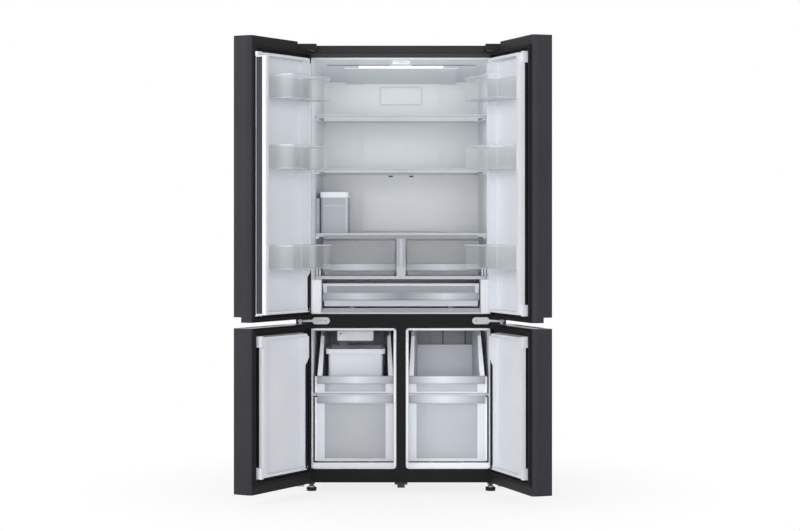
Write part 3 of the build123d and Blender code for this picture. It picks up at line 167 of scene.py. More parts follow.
def edged(m, tint):
    """Gives a glass sheet a deeper tint where its face isn't level, as cut edges have."""
    tree = m.node_tree
    level = calc(tree, "ABSOLUTE", axes(tree, "NewGeometry", "Normal")["Z"])
    tinted(m, calc(tree, "SUBTRACT", 1.0, level), tint)


def sheen(m, tint, centre, reach):
    """Darkens a long trim toward its ends: a painted reflection falloff, as brushed metal shows under one
    wide lamp.
    """
    tree = m.node_tree
    off_middle = calc(tree, "ABSOLUTE", axes(tree, "TexCoord", "Object")["X"])
    off_centre = calc(tree, "ABSOLUTE", calc(tree, "SUBTRACT", off_middle, centre * MM))
    tinted(m, calc(tree, "DIVIDE", off_centre, reach * MM), tint)


def thick_rims(m, dense):
    """Makes floors and rims of clear moulding read denser than its walls, as light runs along them."""
    tree = m.node_tree
    shader = tree.nodes["Principled BSDF"]
    level = calc(tree, "ABSOLUTE", axes(tree, "NewGeometry", "Normal")["Z"])
    feed(tree, shader, {"Alpha": ramp(tree, level, shader.inputs["Alpha"].default_value, dense, 0.3)})


def windowed(m, x, y, z, clear):
    """Thins a moulded drawer to see-through in one window of its front, given in millimetres."""
    tree = m.node_tree
    shader = tree.nodes["Principled BSDF"]
    place = axes(tree, "TexCoord", "Object")
    off_middle = calc(tree, "ABSOLUTE", place["X"])
    front = calc(tree, "MULTIPLY", within(tree, place["Y"], *y), within(tree, place["Z"], *z))
    window = calc(tree, "MULTIPLY", front, within(tree, off_middle, *x))
    feed(tree, shader, {"Alpha": ramp(tree, window, shader.inputs["Alpha"].default_value, clear)})
    return m


def glossy_tops(m, coat, rough):
    """Gives upward faces a smooth clear coat, so that they mirror pale surroundings at a low angle."""
    tree = m.node_tree
    upward = axes(tree, "NewGeometry", "Normal")["Z"]
    feed(tree, tree.nodes["Principled BSDF"], {"Coat Weight": ramp(tree, upward, 0.0, coat, 0.8),
                                               "Coat Roughness": rough})


def door_steel(name):
    """Charcoal painted steel for the doors, with a faint level grain and darker inner faces."""
    m = surface(name, (49, 49, 53), (56, 56, 61), 3, 900, (0.4, 0.5), 0.06, (0.05, 0.05, 1),
                Specular_IOR_Level=0.1)
    inner_face_tint(m, (32, 32, 34))
    return m


def brushed_trim(name, deep, pale, ends, centre, reach):
    """Silver trim, brushed along its length, with a painted sheen that darkens toward its ends."""
    m = surface(name, deep, pale, 7, 1200, (0.4, 0.52), 0.1, (0.02, 1, 1), Metallic=0.25,
                Specular_IOR_Level=0.2)
    sheen(m, ends, centre, reach)
    return m


def moulded(name, deep, pale, rough=(0.42, 0.52)):
    """Dull moulded plastic."""
    return surface(name, deep, pale, 6, 900, rough, 0.05, Specular_IOR_Level=0.2)


def frosted(name):
    """Milky moulded plastic for drawer bodies."""
    return surface(name, (208, 212, 218), (220, 224, 229), 5, 700, (0.34, 0.44), 0.04, Alpha=0.94,
                   Specular_IOR_Level=0.25)


# The finish of each material slot in the record
paint = {
    "door_paint": door_steel("charcoal_door_steel"),
    "case_paint": surface("charcoal_case_steel", (46, 46, 49), (53, 53, 56), 3, 900, (0.42, 0.52), 0.06,
                          (1, 1, 0.05), Specular_IOR_Level=0.1),
    "frame_paint": surface("dark_frame_paint", (26, 28, 28), (32, 34, 34), 8, 800, (0.5, 0.62), 0.08,
                           Specular_IOR_Level=0.08),
    "back_steel": surface("grey_back_steel", (122, 124, 126), (131, 133, 135), 9, 400, (0.42, 0.55), 0.08,
                          (1, 1, 0.1), Metallic=0.6),
    "pan_steel": surface("zinc_chassis_steel", (140, 142, 144), (166, 168, 169), 45, 300, (0.38, 0.52), 0.08,
                         Metallic=0.7),
    "white_liner": surface("white_formed_liner", (222, 226, 231), (230, 233, 238), 4, 260, (0.26, 0.36), 0.03,
                           Specular_IOR_Level=0.25),
    "white_plastic": surface("white_moulded_plastic", (222, 225, 230), (232, 234, 238), 6, 900, (0.36, 0.46),
                             0.05, Specular_IOR_Level=0.4),
    "grey_plastic": surface("grey_moulded_plastic", (128, 133, 139), (142, 147, 152), 6, 900, (0.42, 0.55),
                            0.06),
    "black_plastic": surface("black_moulded_plastic", (34, 34, 37), (44, 44, 47), 9, 1100, (0.5, 0.62), 0.1,
                             Specular_IOR_Level=0.12),
    "clear_plastic": surface("clear_moulded_plastic", (216, 222, 226), (228, 233, 236), 5, 500, (0.06, 0.12),
                             0.02, Specular_IOR_Level=0.3, Alpha=0.13),
    "gasket_rubber": surface("black_gasket_rubber", (22, 22, 24), (32, 32, 34), 12, 700, (0.55, 0.7), 0.1,
                             Specular_IOR_Level=0.1),
    "shelf_glass": surface("toughened_shelf_glass", (212, 224, 224), (224, 233, 232), 4, 300, (0.03, 0.07),
                           0.01, Alpha=0.42),
    "hinge_steel": surface("plated_hinge_steel", (176, 178, 181), (196, 198, 200), 14, 900, (0.4, 0.52), 0.06,
                           (0.1, 1, 1), Metallic=0.3, Specular_IOR_Level=0.2),
    "fin_aluminium": surface("mill_fin_aluminium", (196, 198, 200), (212, 214, 216), 20, 600, (0.3, 0.42),
                             0.05, Metallic=0.9),
    "compressor_paint": surface("black_compressor_enamel", (26, 26, 27), (36, 36, 37), 12, 500, (0.25, 0.36),
                                0.05),
    "board": surface("foam_board", (206, 200, 178), (222, 216, 196), 60, 500, (0.75, 0.9), 0.3),
    "lens": surface("glowing_lamp_lens", (240, 243, 248), (250, 251, 253), 12, 500, (0.2, 0.3), 0.05,
                    (1, 0.1, 1), Emission_Color=lin((246, 249, 255)), Emission_Strength=1.5),
}
BEZEL_FOOT, BEZEL_TOP, SEAM_TOP = 1728, 1743, 1746.5
for low, high, tint in ((0, BEZEL_FOOT, (36, 37, 39)), (BEZEL_FOOT, BEZEL_TOP, (60, 61, 64)),
                        (BEZEL_TOP, SEAM_TOP, (38, 38, 40))):
    front_band(paint["case_paint"], low, high, tint, FRONT + 1.5)
# The chassis's front is darker below 45 mm.
front_band(paint["pan_steel"], 0, 45, (58, 58, 60), 100)
edged(paint["shelf_glass"], (150, 178, 172))
thick_rims(paint["clear_plastic"], 0.5)
rubber, white_liner, white_plastic = paint["gasket_rubber"], paint["white_liner"], paint["white_plastic"]
grey_plastic, pan_steel = paint["grey_plastic"], paint["pan_steel"]

# Finishes that only some pieces have
silver = brushed_trim("brushed_silver_trim", (178, 182, 188), (196, 200, 205), (132, 136, 143), 176, 165)
# A darker copy of the silver trim for the crisper trims: painted shade.
shaded_silver = brushed_trim("shaded_silver_trim", (162, 167, 173), (180, 185, 190), (128, 132, 138), 170, 160)
dark_strip = surface("charcoal_mullion_strip", (58, 58, 62), (66, 66, 70), 4, 900, (0.42, 0.52), 0.05,
                     (1, 1, 0.03), Specular_IOR_Level=0.1)
clear_rim = surface("clear_rim_plastic", (214, 219, 224), (226, 230, 234), 5, 500, (0.1, 0.2), 0.02,
                    Specular_IOR_Level=0.3, Alpha=0.55)
smoky = surface("smoky_tank_plastic", (178, 184, 193), (190, 196, 204), 5, 500, (0.12, 0.2), 0.02,
                Specular_IOR_Level=0.3, Alpha=0.6)
# A dark finish for the pieces that are painted shade.
shade = surface("painted_shadow_plastic", (46, 48, 52), (58, 60, 64), 20, 900, (0.5, 0.65), 0.1)
inside = surface("white_inner_liner", (234, 236, 240), (241, 243, 246), 4, 260, (0.3, 0.4), 0.03,
                 Specular_IOR_Level=0.25)
shelf_bar = moulded("pale_shelf_frame", (187, 190, 196), (198, 201, 206), (0.4, 0.5))
flank = moulded("shaded_post_plastic", (158, 163, 169), (170, 175, 181))
ice_white = moulded("dull_ice_plastic", (188, 192, 198), (198, 202, 208))
bin_white = moulded("pale_ice_plastic", (208, 212, 217), (218, 222, 227))
lower_door_steel = door_steel("charcoal_lower_door_steel")
glossy_tops(lower_door_steel, 0.35, 0.2)

FREEZER_WINDOW = {"x": (62, 306), "y": (-81, -72), "clear": 0.35}
upper_drawer = windowed(frosted("frosted_upper_drawer"), z=(393, 425), **FREEZER_WINDOW)
lower_drawer = windowed(frosted("frosted_lower_drawer"), z=(126, 346), **FREEZER_WINDOW)
pantry_body = windowed(frosted("frosted_pantry_drawer"), (-1, 300), (10, 20), (787, 814), 0.3)

for part in frame["record"]["subparts"]:
    mesh = nodes[part["node"]].data
    mesh.materials.clear()
    mesh.materials.append(paint[part["material_slot"]])

dressed = {
    "pantry_drawer": pantry_body,
    "water_tank": smoky,
    "shelf_frames": shelf_bar,
    "crisper_deck": shelf_bar,
    "ice_bin": bin_white,
    "ice_maker": ice_white,
}
for name in ("fridge_liner", "freezer_liners", "duct_panel", "filter_cover", "mullion_guide"):
    dressed[name] = inside
for hand in SIDES.values():
    dressed[f"freezer_drawer_upper_{hand}"] = upper_drawer
    dressed[f"freezer_drawer_lower_{hand}"] = lower_drawer
    dressed[f"lower_{hand}_door"] = lower_door_steel
for name, material in dressed.items():
    nodes[name].data.materials[0] = material


# Outlines and shapes for the small pieces, in millimetres

PLACE = {"x": lambda a, b, n: (n, a, b), "y": lambda a, b, n: (a, n, b), "z": lambda a, b, n: (a, b, n)}


def across(side, near, far):
    """The two ends of a stretch on one side of the middle, in rising order."""
    return sorted((side * near, side * far))


def on_door(side, points):
    """Turns (from the hinge edge, from the inner face) points of a shut door into (x, y)."""
    return [(side * (HALF - u), DOOR_INNER + w) for u, w in points]


def ceiling(y):
    """Height of the fridge liner's sloping ceiling."""
    return CEILING - CEILING_FALL * (y - FRONT) / FRIDGE_DEPTH


def rounded(a0, a1, b0, b1, r, steps=4):
    """Points round a rectangle with rounded corners."""
    corners = ((a1 - r, b0 + r, -90), (a1 - r, b1 - r, 0), (a0 + r, b1 - r, 90), (a0 + r, b0 + r, 180))
    points = []
    for ca, cb, turn in corners:
        for i in range(steps + 1):
            t = math.radians(turn + 90 * i / steps)
            points.append((ca + r * math.cos(t), cb + r * math.sin(t)))
    return points


def around(a, b, half_a, half_b, r):
    """Points round a rounded rectangle about a middle."""
    return rounded(a - half_a, a + half_a, b - half_b, b + half_b, r)


def channel(front, depth, z0, z1, sheet, r, steps=4):
    """Points round a folded channel that wraps a bar, open to the rear, as (y, z)."""
    outer = [(front + depth, z0)]
    for cz, turn in ((z0 + r, 270), (z1 - r, 180)):
        for i in range(steps + 1):
            t = math.radians(turn - 90 * i / steps)
            outer.append((front + r + r * math.cos(t), cz + r * math.sin(t)))
    outer.append((front + depth, z1))
    inner = [(front + depth, z1 - sheet), (front + sheet, z1 - sheet), (front + sheet, z0 + sheet),
             (front + depth, z0 + sheet)]
    return outer + inner


def loft(bm, rings):
    """Skins a row of point rings of equal count and closes both ends."""
    rings = [[bm.verts.new([v * MM for v in point]) for point in ring] for ring in rings]
    bm.faces.new(rings[0])
    bm.faces.new(rings[-1])
    count = len(rings[0])
    for near, far in zip(rings, rings[1:]):
        for i in range(count):
            j = (i + 1) % count
            bm.faces.new((near[i], near[j], far[j], far[i]))


def prism(bm, outline, lo, hi, axis):
    """Adds a prism on an outline, between two places along an axis."""
    loft(bm, [[PLACE[axis](a, b, n) for a, b in outline] for n in (lo, hi)])


def band(bm, outer, inner, lo, hi, axis):
    """Adds a closed band between two outlines of equal count."""
    rings = [[bm.verts.new([v * MM for v in PLACE[axis](a, b, n)]) for a, b in outline]
             for n in (lo, hi) for outline in (outer, inner)]
    count = len(outer)
    for i in range(count):
        j = (i + 1) % count
        for p, q in ((0, 1), (2, 3), (0, 2), (1, 3)):
            bm.faces.new((rings[p][i], rings[p][j], rings[q][j], rings[q][i]))


def lathe(bm, centre, direction, profile, steps=20):
    """Adds a turned shape from (radius, height, sides) rows along a direction; no sides means round."""
    turn = Vector(direction).to_track_quat("Z", "Y").to_matrix()
    rings = []
    for r, h, sides in profile:
        ring = []
        for i in range(steps):
            t = math.tau * i / steps
            reach = r
            if sides:
                sector = math.tau / sides
                reach = r * math.cos(sector / 2) / math.cos(t % sector - sector / 2)
            ring.append(Vector(centre) + turn @ Vector((reach * math.cos(t), reach * math.sin(t), h)))
        rings.append(ring)
    loft(bm, rings)


def piece(name, body, material, fill, place=None, soften=0.0):
    """Builds one mesh piece, places it, and lets it ride on a body."""
    bm = bmesh.new()
    fill(bm)
    if place is not None:
        bm.transform(place)
    bmesh.ops.recalc_face_normals(bm, faces=bm.faces)
    mesh = bpy.data.meshes.new(name)
    bm.to_mesh(mesh)
    bm.free()
    mesh.materials.append(material)
    obj = bpy.data.objects.new(name, mesh)
    bpy.context.scene.collection.objects.link(obj)
    if soften:
        edge = obj.modifiers.new("softened_edges", "BEVEL")
        edge.width = soften * MM
        edge.segments = 2
        edge.limit_method = "ANGLE"
        edge.angle_limit = math.radians(40)
    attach(obj, body)


def opened(side):
    """Carries a piece from the shut door to the door's place at rest."""
    hinge = Vector((side * HINGE_X, HINGE_Y, 0)) * MM
    return Matrix.Translation(hinge) @ Matrix.Rotation(side * OPEN[side], 4, "Z") @ Matrix.Translation(-hinge)


# Drawer trims

FRIDGE_BAR, FREEZER_BAR = 27, 29
CRISPER_NEAR, CRISPER_FAR, CRISPER_BAR_Z = 24, 316.5, 876.4
PANTRY_BAR_Z = 757.9
FREEZER_NEAR, FREEZER_TRIM_FAR, FREEZER_TRIM_Y = 31, 335.5, -89
UPPER_BAR_Z, LOWER_BAR_Z = 427, 349


def trim(name, body, reach, y, z, bar, metal=silver):
    """A folded silver trim on a drawer's front bar, with a pressed finger line."""
    off, wrap, sheet, bend = 0.8, 9, 0.7, 3
    x0, x1 = reach

    def fill(bm):
        """The channel round the bar, and the line near its lower edge."""
        prism(bm, channel(y - off, wrap, z - off, z + bar + off, sheet, bend), x0, x1, "x")
        prism(bm, rounded(y - 1.3, y - 0.6, z + 3.5, z + 5, 0.3), x0 + 2, x1 - 2, "x")
    piece(name, body, metal, fill)


def drawer_lip(bm, reach):
    """The pale lip behind the top edge of a lower freezer drawer's trim."""
    top = LOWER_BAR_Z + FREEZER_BAR
    prism(bm, rounded(-86.5, -80, top - 1, top + 6.6, 1.5), reach[0] + 2, reach[1] - 2, "x")


for side, hand in SIDES.items():
    reach = across(side, CRISPER_NEAR, CRISPER_FAR)
    trim(f"crisper_trim_{hand}", f"crisper_{hand}", reach, SHELF_FRONT, CRISPER_BAR_Z, FRIDGE_BAR, shaded_silver)
    reach = across(side, FREEZER_NEAR, FREEZER_TRIM_FAR)
    upper, lower = f"freezer_drawer_upper_{hand}", f"freezer_drawer_lower_{hand}"
    trim(f"freezer_trim_upper_{hand}", upper, reach, FREEZER_TRIM_Y, UPPER_BAR_Z, FREEZER_BAR)
    trim(f"freezer_trim_lower_{hand}", lower, reach, FREEZER_TRIM_Y, LOWER_BAR_Z, FREEZER_BAR)
    piece(f"freezer_top_lip_{hand}", lower, shelf_bar,
          lambda bm: drawer_lip(bm, reach), None, 0.4)
trim("pantry_trim", "pantry_drawer", (-CRISPER_FAR, CRISPER_FAR), SHELF_FRONT, PANTRY_BAR_Z, FRIDGE_BAR)


# Mullion strip

STRIP_X, STRIP_Y, STRIP_Z = (-14.0, -13.6), (-134.4, -108.4), (727, 1695)
STRIP_EDGE, STRIP_EDGE_X = 3.2, (-13.7, -13.45)


def mullion_face(bm):
    """The dark strip down the mullion's seal face."""
    prism(bm, rounded(*STRIP_Y, *STRIP_Z, 2), *STRIP_X, "x")


def mullion_edge_shade(bm):
    """Black strips, raised slightly along each edge of the mullion's strip: painted shade for the gaps beside
    it.
    """
    for y in (STRIP_Y[0], STRIP_Y[1] - STRIP_EDGE):
        outline = rounded(y, y + STRIP_EDGE, STRIP_Z[0] + 2, STRIP_Z[1] - 2, 0.4)
        prism(bm, outline, *STRIP_EDGE_X, "x")


piece("mullion_strip", "mullion", dark_strip, mullion_face, opened(-1))
piece("mullion_strip_edge_shade", "mullion", rubber, mullion_edge_shade, opened(-1))


# Door liners

RIB_U, RIB_START, RIB_PITCH, RIB_COUNT, RIB_HEIGHT = (150, 285), 178, 62, 7, 7
LIP_U, LIP_THICK = 379.1, 1.2
SLANT_U, SLANT_W = 0.6, 2.4
EAR_GAP, EAR_RISE = 3.2, 7


def liner_ribs(bm, side):
    """Shallow formed ribs across a lower liner's floor."""
    reach = across(side, HALF - RIB_U[0], HALF - RIB_U[1])
    for k in range(RIB_COUNT):
        z = RIB_START + RIB_PITCH * k
        prism(bm, rounded(*reach, z, z + RIB_HEIGHT, 3.4), DOOR_INNER + 5, DOOR_INNER + 6.9, "y")


def liner_lip(bm, side, row, height, z0, z1):
    """The black sealing lip that lies against the drafted free side of a door liner, between its tabs."""
    lean = LINER_DRAFT * height / LINER_CREST[row]
    near, far, foot = LIP_U, LIP_U + LIP_THICK, 0.4
    outline = [(near, foot), (far, foot), (far - lean, height), (near - lean, height)]
    prism(bm, on_door(side, outline), z0, z1, "z")


def on_crest(bm, side, row, outline, low, high):
    """Skins an outline along the hinge-side crest of a liner; an end is a height and its share of slant."""
    crest = LINER_CREST[row]
    rings = []
    for z, slant in (low, high):
        ring = []
        for u, w in outline:
            drop = slant * (SLANT_U * (u - CREST_U) - SLANT_W * w)
            ring.append((side * (HALF - u), DOOR_INNER + crest + w, z - drop))
        rings.append(ring)
    loft(bm, rings)


def hinge_cut_shade(bm, side, row, foot, step):
    """A black sheet over a liner's crest on the hinge side, below the step, and its foot in the corner:
    painted shade that stands for a cut in the crest there.
    """
    near, far, thick, wall = CREST_U, 80.6, 0.5, 4
    outline = [(near, 0), (near, thick), (far, thick), (far, -wall), (far - thick, -wall), (far - thick, 0)]
    on_crest(bm, side, row, outline, (foot, 0), (step, 1))
    corner = [(72, 0), (72, thick), (84, thick), (84, 0)]
    on_crest(bm, side, row, corner, (foot - 13, 0), (foot, 0))


def hinge_ear(bm, side, row, step, top):
    """The raised crest of a liner on the hinge side, above the step."""
    near, far, sunk = 70.4, 79.6, -1
    outline = [(near, sunk), (near, EAR_RISE), (far, EAR_RISE), (far, sunk)]
    on_crest(bm, side, row, outline, (step + EAR_GAP, 1), (top, 0))


for side, hand in SIDES.items():
    piece(f"lower_liner_ribs_{hand}", f"lower_{hand}_door", white_liner,
          lambda bm: liner_ribs(bm, side), opened(side), 0.5)

for row, side, height, z0, z1 in (
    ("upper", 1, 16, 760.5, 1673.5),
    ("lower", -1, 12.5, 144.5, 598.5),
    ("lower", 1, 12.5, 144.5, 598.5),
):
    door = f"{row}_{SIDES[side]}"
    piece(f"{door}_liner_lip", f"{door}_door", rubber,
          lambda bm: liner_lip(bm, side, row, height, z0, z1), opened(side))

for row, foot, step, top in (("upper", 738, 870.8, 1693), ("lower", 122, 526.8, 627)):
    for side, hand in SIDES.items():
        door = f"{row}_{hand}"
        if door != "upper_right":
            piece(f"{door}_hinge_cut_shade", f"{door}_door", rubber,
                  lambda bm: hinge_cut_shade(bm, side, row, foot, step), opened(side))
        piece(f"{door}_hinge_ear", f"{door}_door", white_liner,
              lambda bm: hinge_ear(bm, side, row, step, top), opened(side), 0.8)


# Door bin rims

BIN_WRAP, BIN_RIM, BIN_BEND = 105, 2.4, 14


def bin_rims(bm, side):
    """A turned rim and a foot line round the open sides of each door bin."""
    for floor in BIN_FLOORS:
        for spread, low, high in ((1.2, 86, 90.8), (0.6, -0.4, 2.4)):
            edge = channel(-BIN_REACH - spread, BIN_WRAP, BIN_U[0] - spread, BIN_U[1] + spread, BIN_RIM,
                           BIN_BEND)
            prism(bm, on_door(side, [(u, -reach) for reach, u in edge]), floor + low, floor + high, "z")


for side, hand in SIDES.items():
    piece(f"{hand}_bin_rims", f"upper_{hand}_door", clear_rim, lambda bm: bin_rims(bm, side),
          opened(side))


# Ceiling

STEP_SHADE_NEAR, STEP_SHADE_FAR = 44, 302
LAMP_Y = 37


def step_shade(bm):
    """A dark sheet across the ceiling, on both sides of the mullion guide, deeper at its front edge: painted
    shade for the shadow gap at the ceiling's step.
    """
    for side in SIDES:
        for y0, y1, depth in ((12, 18, 0.9), (11, 12, 1.6)):
            z0, z1 = ceiling(y0), ceiling(y1)
            outline = [(y0, z0), (y1, z1), (y1, z1 - depth), (y0, z0 - depth)]
            prism(bm, outline, *across(side, STEP_SHADE_NEAR, STEP_SHADE_FAR), "x")


def lamp_bezel(bm):
    """The lamp's frame, made level and then sheared to the sloping ceiling."""
    band(bm, around(0, LAMP_Y, 176, 16.5, 7), around(0, LAMP_Y, 170.6, 12.6, 2), -2.4, 0, "z")


slope = Matrix.Identity(4)
slope[2][1] = -CEILING_FALL / FRIDGE_DEPTH
slope[2][3] = ceiling(0) * MM
piece("ceiling_step_shade", "cabinet", shade, step_shade)
piece("lamp_bezel", "cabinet", white_plastic, lamp_bezel, slope, 0.6)


# Filter cover and duct

FILTER_Z, FILTER_HALF_X, FILTER_HALF_Z, FILTER_FACE = 1609, 93, 42, 406
VENT_X, VENT_Z, VENT_BACK = 44, 1267.2, 414


def filter_line(inset, r):
    """The filter cover's outline, drawn in by an inset."""
    return around(0, FILTER_Z, FILTER_HALF_X - inset, FILTER_HALF_Z - inset, r)


def filter_bezel(bm):
    """A raised edge round the filter cover."""
    band(bm, filter_line(0, 4), filter_line(5, 3), FILTER_FACE - 1, FILTER_FACE, "y")


def filter_seam(bm):
    """A grey joint line inside the filter cover's edge."""
    band(bm, filter_line(6, 3), filter_line(7, 2.4), FILTER_FACE - 0.3, FILTER_FACE, "y")


def vents(bm):
    """Two louvred air outlets set into the duct panel, with dark plates that paint the shade inside them."""
    for side in SIDES:
        x = side * VENT_X
        outer, inner = around(x, VENT_Z, 9, 3, 0.8), around(x, VENT_Z, 8, 2.2, 0.6)
        band(bm, outer, inner, VENT_BACK - 3.8, VENT_BACK, "y")
        prism(bm, around(x, VENT_Z, 8.5, 2.6, 0.6), VENT_BACK, VENT_BACK + 1, "y")
        for louvre in (x - 3, x + 3):
            prism(bm, around(louvre, VENT_Z, 0.6, 2.4, 0.4), VENT_BACK - 3, VENT_BACK, "y")


piece("filter_bezel", "cabinet", white_plastic, filter_bezel, None, 0.4)
piece("filter_seam", "cabinet", grey_plastic, filter_seam)
piece("duct_vents", "cabinet", shade, vents)


# Shelves and deck

GLASS_HALF, GLASS_SEAMS, SEAM = 344, (1500.2, 1284.5), 1.6
BAR_HALF, BAR_EDGE_SHADE = 310, (1479.6, 1270.4)
COVER_HALF, COVER_SHADE_BAND = 311, (1006.6, 1020.5)


def shelf_seams_and_shade(bm):
    """Grey joint lines between each glass and its front bar; grey lines along the foot of each front bar, for
    the frame's back edge and the shade under it; and a band under the crisper cover's edge that paints its
    face in shade.
    """
    for z in GLASS_SEAMS:
        outline = [(-GLASS_HALF, z), (GLASS_HALF, z), (GLASS_HALF, z + SEAM), (-GLASS_HALF, z + SEAM)]
        prism(bm, outline, SHELF_FRONT - 0.4, SHELF_FRONT, "y")
    for z in BAR_EDGE_SHADE:
        prism(bm, rounded(-BAR_HALF, BAR_HALF, z, z + 2, 0.6), SHELF_FRONT - 0.7, SHELF_FRONT, "y")
    prism(bm, rounded(-COVER_HALF, COVER_HALF, *COVER_SHADE_BAND, 1), SHELF_FRONT - 0.8, SHELF_FRONT, "y")


def post_cap(bm):
    """The moulded rail up the crisper post and its flared foot on the deck."""
    prism(bm, rounded(-4, 4, *POST_Z, 1.5), SHELF_FRONT - 1.6, SHELF_FRONT, "y")
    foot = [(-17.5, 0), (17.5, 0), (16.5, 13), (6, 17), (5, 34), (-5, 34), (-6, 17), (-16.5, 13)]
    prism(bm, [(x, DECK_TOP + rise) for x, rise in foot], SHELF_FRONT - 3.5, SHELF_FRONT, "y")


def post_flanks(bm):
    """The shaded faces on both sides of the post's rail."""
    for side in SIDES:
        prism(bm, rounded(*across(side, 6, 16.5), *POST_Z, 1.2), SHELF_FRONT - 0.8, SHELF_FRONT, "y")


def deck_brackets(bm):
    """Small upright brackets at the deck's front corners."""
    for side in SIDES:
        for x in (326, 337):
            outline = rounded(*across(side, x, x + 5), DECK_TOP, DECK_TOP + 29, 1.5)
            prism(bm, outline, SHELF_FRONT, SHELF_FRONT + 10, "y")


piece("shelf_seams_and_shade", "cabinet", grey_plastic, shelf_seams_and_shade)
piece("crisper_post_cap", "cabinet", shelf_bar, post_cap, None, 0.6)
piece("crisper_post_flanks", "cabinet", flank, post_flanks)
piece("deck_brackets", "cabinet", white_plastic, deck_brackets, None, 0.5)


# Water tank

TANK_X, TANK_EDGE_X, TANK_EDGE_Z = (-316, -226), (-225, -217), (1031, 1171.5)
TANK_BAND_Z, TANK_LINES = (1136.5, 1141.5), (1064, 1047, 1041)
GUIDE_X, GUIDE_Y, GUIDE_Z = (-346, -330.5), (30, 52), (1029, 1170)


def tank_band(bm):
    """The pale band across the tank's face."""
    prism(bm, rounded(*TANK_X, *TANK_BAND_Z, 1.5), TANK_FRONT - 0.8, TANK_FRONT, "y")


def tank_guide(bm):
    """The upright guide between the tank and the wall, in the shaded grey of the post's flanks: painted
    shade.
    """
    prism(bm, rounded(*GUIDE_X, *GUIDE_Y, 3), *GUIDE_Z, "z")


def tank_side(bm):
    """The pale strip up the tank's right edge."""
    prism(bm, rounded(*TANK_EDGE_X, *TANK_EDGE_Z, 2), TANK_FRONT - 1, TANK_FRONT + 0.4, "y")


def tank_lines(bm):
    """Grey lines across the foot of the tank's face."""
    for z in TANK_LINES:
        outline = rounded(TANK_X[0] + 1, TANK_X[1] - 1, z, z + 1.4, 0.5)
        prism(bm, outline, TANK_FRONT - 0.4, TANK_FRONT, "y")


piece("tank_band", "water_tank", shelf_bar, tank_band, None, 0.3)
piece("tank_guide", "cabinet", flank, tank_guide, None, 0.5)
piece("tank_side", "water_tank", shelf_bar, tank_side, None, 0.3)
piece("tank_lines", "water_tank", grey_plastic, tank_lines)


# Liner lips round the mouths

MOUTH_NEAR, MOUTH_FAR, MOUTH_Z, HEAD_HALF = 354, 363, (712, 1722), 352
SILL_HALF = 318


def fridge_lip(bm):
    """A thin white lip up each side of the fridge mouth, and a sloped one along its head."""
    for side in SIDES:
        outline = rounded(*across(side, MOUTH_NEAR, MOUTH_FAR), *MOUTH_Z, 1.5)
        prism(bm, outline, FRONT - 0.35, FRONT + 0.1, "y")
    head = [(0.4, -0.1), (0.4, -1.4), (11, -7.2), (14, -1.4)]
    prism(bm, [(FRONT + y, CEILING + z) for y, z in head], -HEAD_HALF, HEAD_HALF, "x")


def pantry_sill(bm):
    """The sloped sill in front of the pantry drawer."""
    prism(bm, [(-34, 710.6), (8, 710.6), (8, 724.5), (3, 724.5)], -SILL_HALF, SILL_HALF, "x")


def freezer_lip(bm):
    """White lips along the divider and the head of each freezer mouth, and a sloped sill across its floor."""
    near, beside, thick = 21.5, 29.6, 3.6
    set_back, flush = FRONT + 19.5, FRONT + 0.4
    for side in SIDES:
        for z0, z1, y in ((96, 146, set_back), (146, 597, flush), (597, FREEZER_HEAD, set_back)):
            prism(bm, rounded(*across(side, near, beside), z0, z1, 1), y, y + thick, "y")
        head = rounded(*across(side, beside, FREEZER_FAR), FREEZER_HEAD - 5.6, FREEZER_HEAD, 1)
        prism(bm, head, flush, flush + thick, "y")
        sill = [(-117, 94.5), (-92, 94.5), (-92, 111.5), (-96, 111.5)]
        prism(bm, sill, *across(side, 24, FREEZER_FAR - 1), "x")


piece("fridge_mouth_lip", "cabinet", inside, fridge_lip)
piece("pantry_sill", "cabinet", shelf_bar, pantry_sill, None, 0.6)
piece("freezer_mouth_lip", "cabinet", inside, freezer_lip, None, 0.5)


# Ice maker's face and freezer fan

COWL_X, COWL_Z, COWL_HALF, COWL_FACE = 195, 573, 73, 285
ICE_X, ICE_Z = (-250.5, -116), (598.2, 635.8)


def ice_edge(bm):
    """A raised edge on the ice maker's face."""
    inner = rounded(ICE_X[0] + 3.5, ICE_X[1] - 3.5, ICE_Z[0] + 3.3, ICE_Z[1] - 3.3, 2)
    band(bm, rounded(*ICE_X, *ICE_Z, 2.5), inner, ICE_FACE - 0.9, ICE_FACE, "y")


def cowl(bm):
    """The duct cowl over the freezer fan's grille, with a raised panel on its right part."""
    outline = around(COWL_X, COWL_Z, COWL_HALF, COWL_HALF, 8)
    rim = around(COWL_X, COWL_Z, COWL_HALF - 4, COWL_HALF - 4, 5)
    prism(bm, outline, COWL_FACE, COWL_FACE + 3.5, "y")
    band(bm, outline, rim, COWL_FACE + 3.5, COWL_FACE + 5, "y")
    prism(bm, rounded(178, 266, 498, 647, 3), COWL_FACE - 3.5, COWL_FACE + 0.5, "y")


def cowl_edge_shade(bm):
    """Dark strips beside the cowl's raised panel: painted shade along its edges."""
    for x in (173.5, 267):
        outline = rounded(x, x + 3.5, COWL_Z - COWL_HALF, COWL_Z + COWL_HALF, 1)
        prism(bm, outline, COWL_FACE - 1.5, COWL_FACE + 0.2, "y")


piece("ice_maker_edge", "cabinet", ice_white, ice_edge, None, 0.3)
piece("freezer_fan_cowl", "cabinet", grey_plastic, cowl, None, 0.8)
piece("freezer_cowl_edge_shade", "cabinet", shade, cowl_edge_shade)


# Freezer drawers

RAKE_Y, RAKE_Z, RAKE_RUN, RAKE_RISE = -72, 456, 114, 172
DRAWER_NEAR = 30.5
FLANGE, FLANGE_UPPER_Z, FLANGE_LOWER_Z = 9, (388, 455), (116, 372)


def raked(z):
    """How far back an upper freezer drawer's raked edge lies at a height."""
    return RAKE_Y + RAKE_RUN * (z - RAKE_Z) / RAKE_RISE


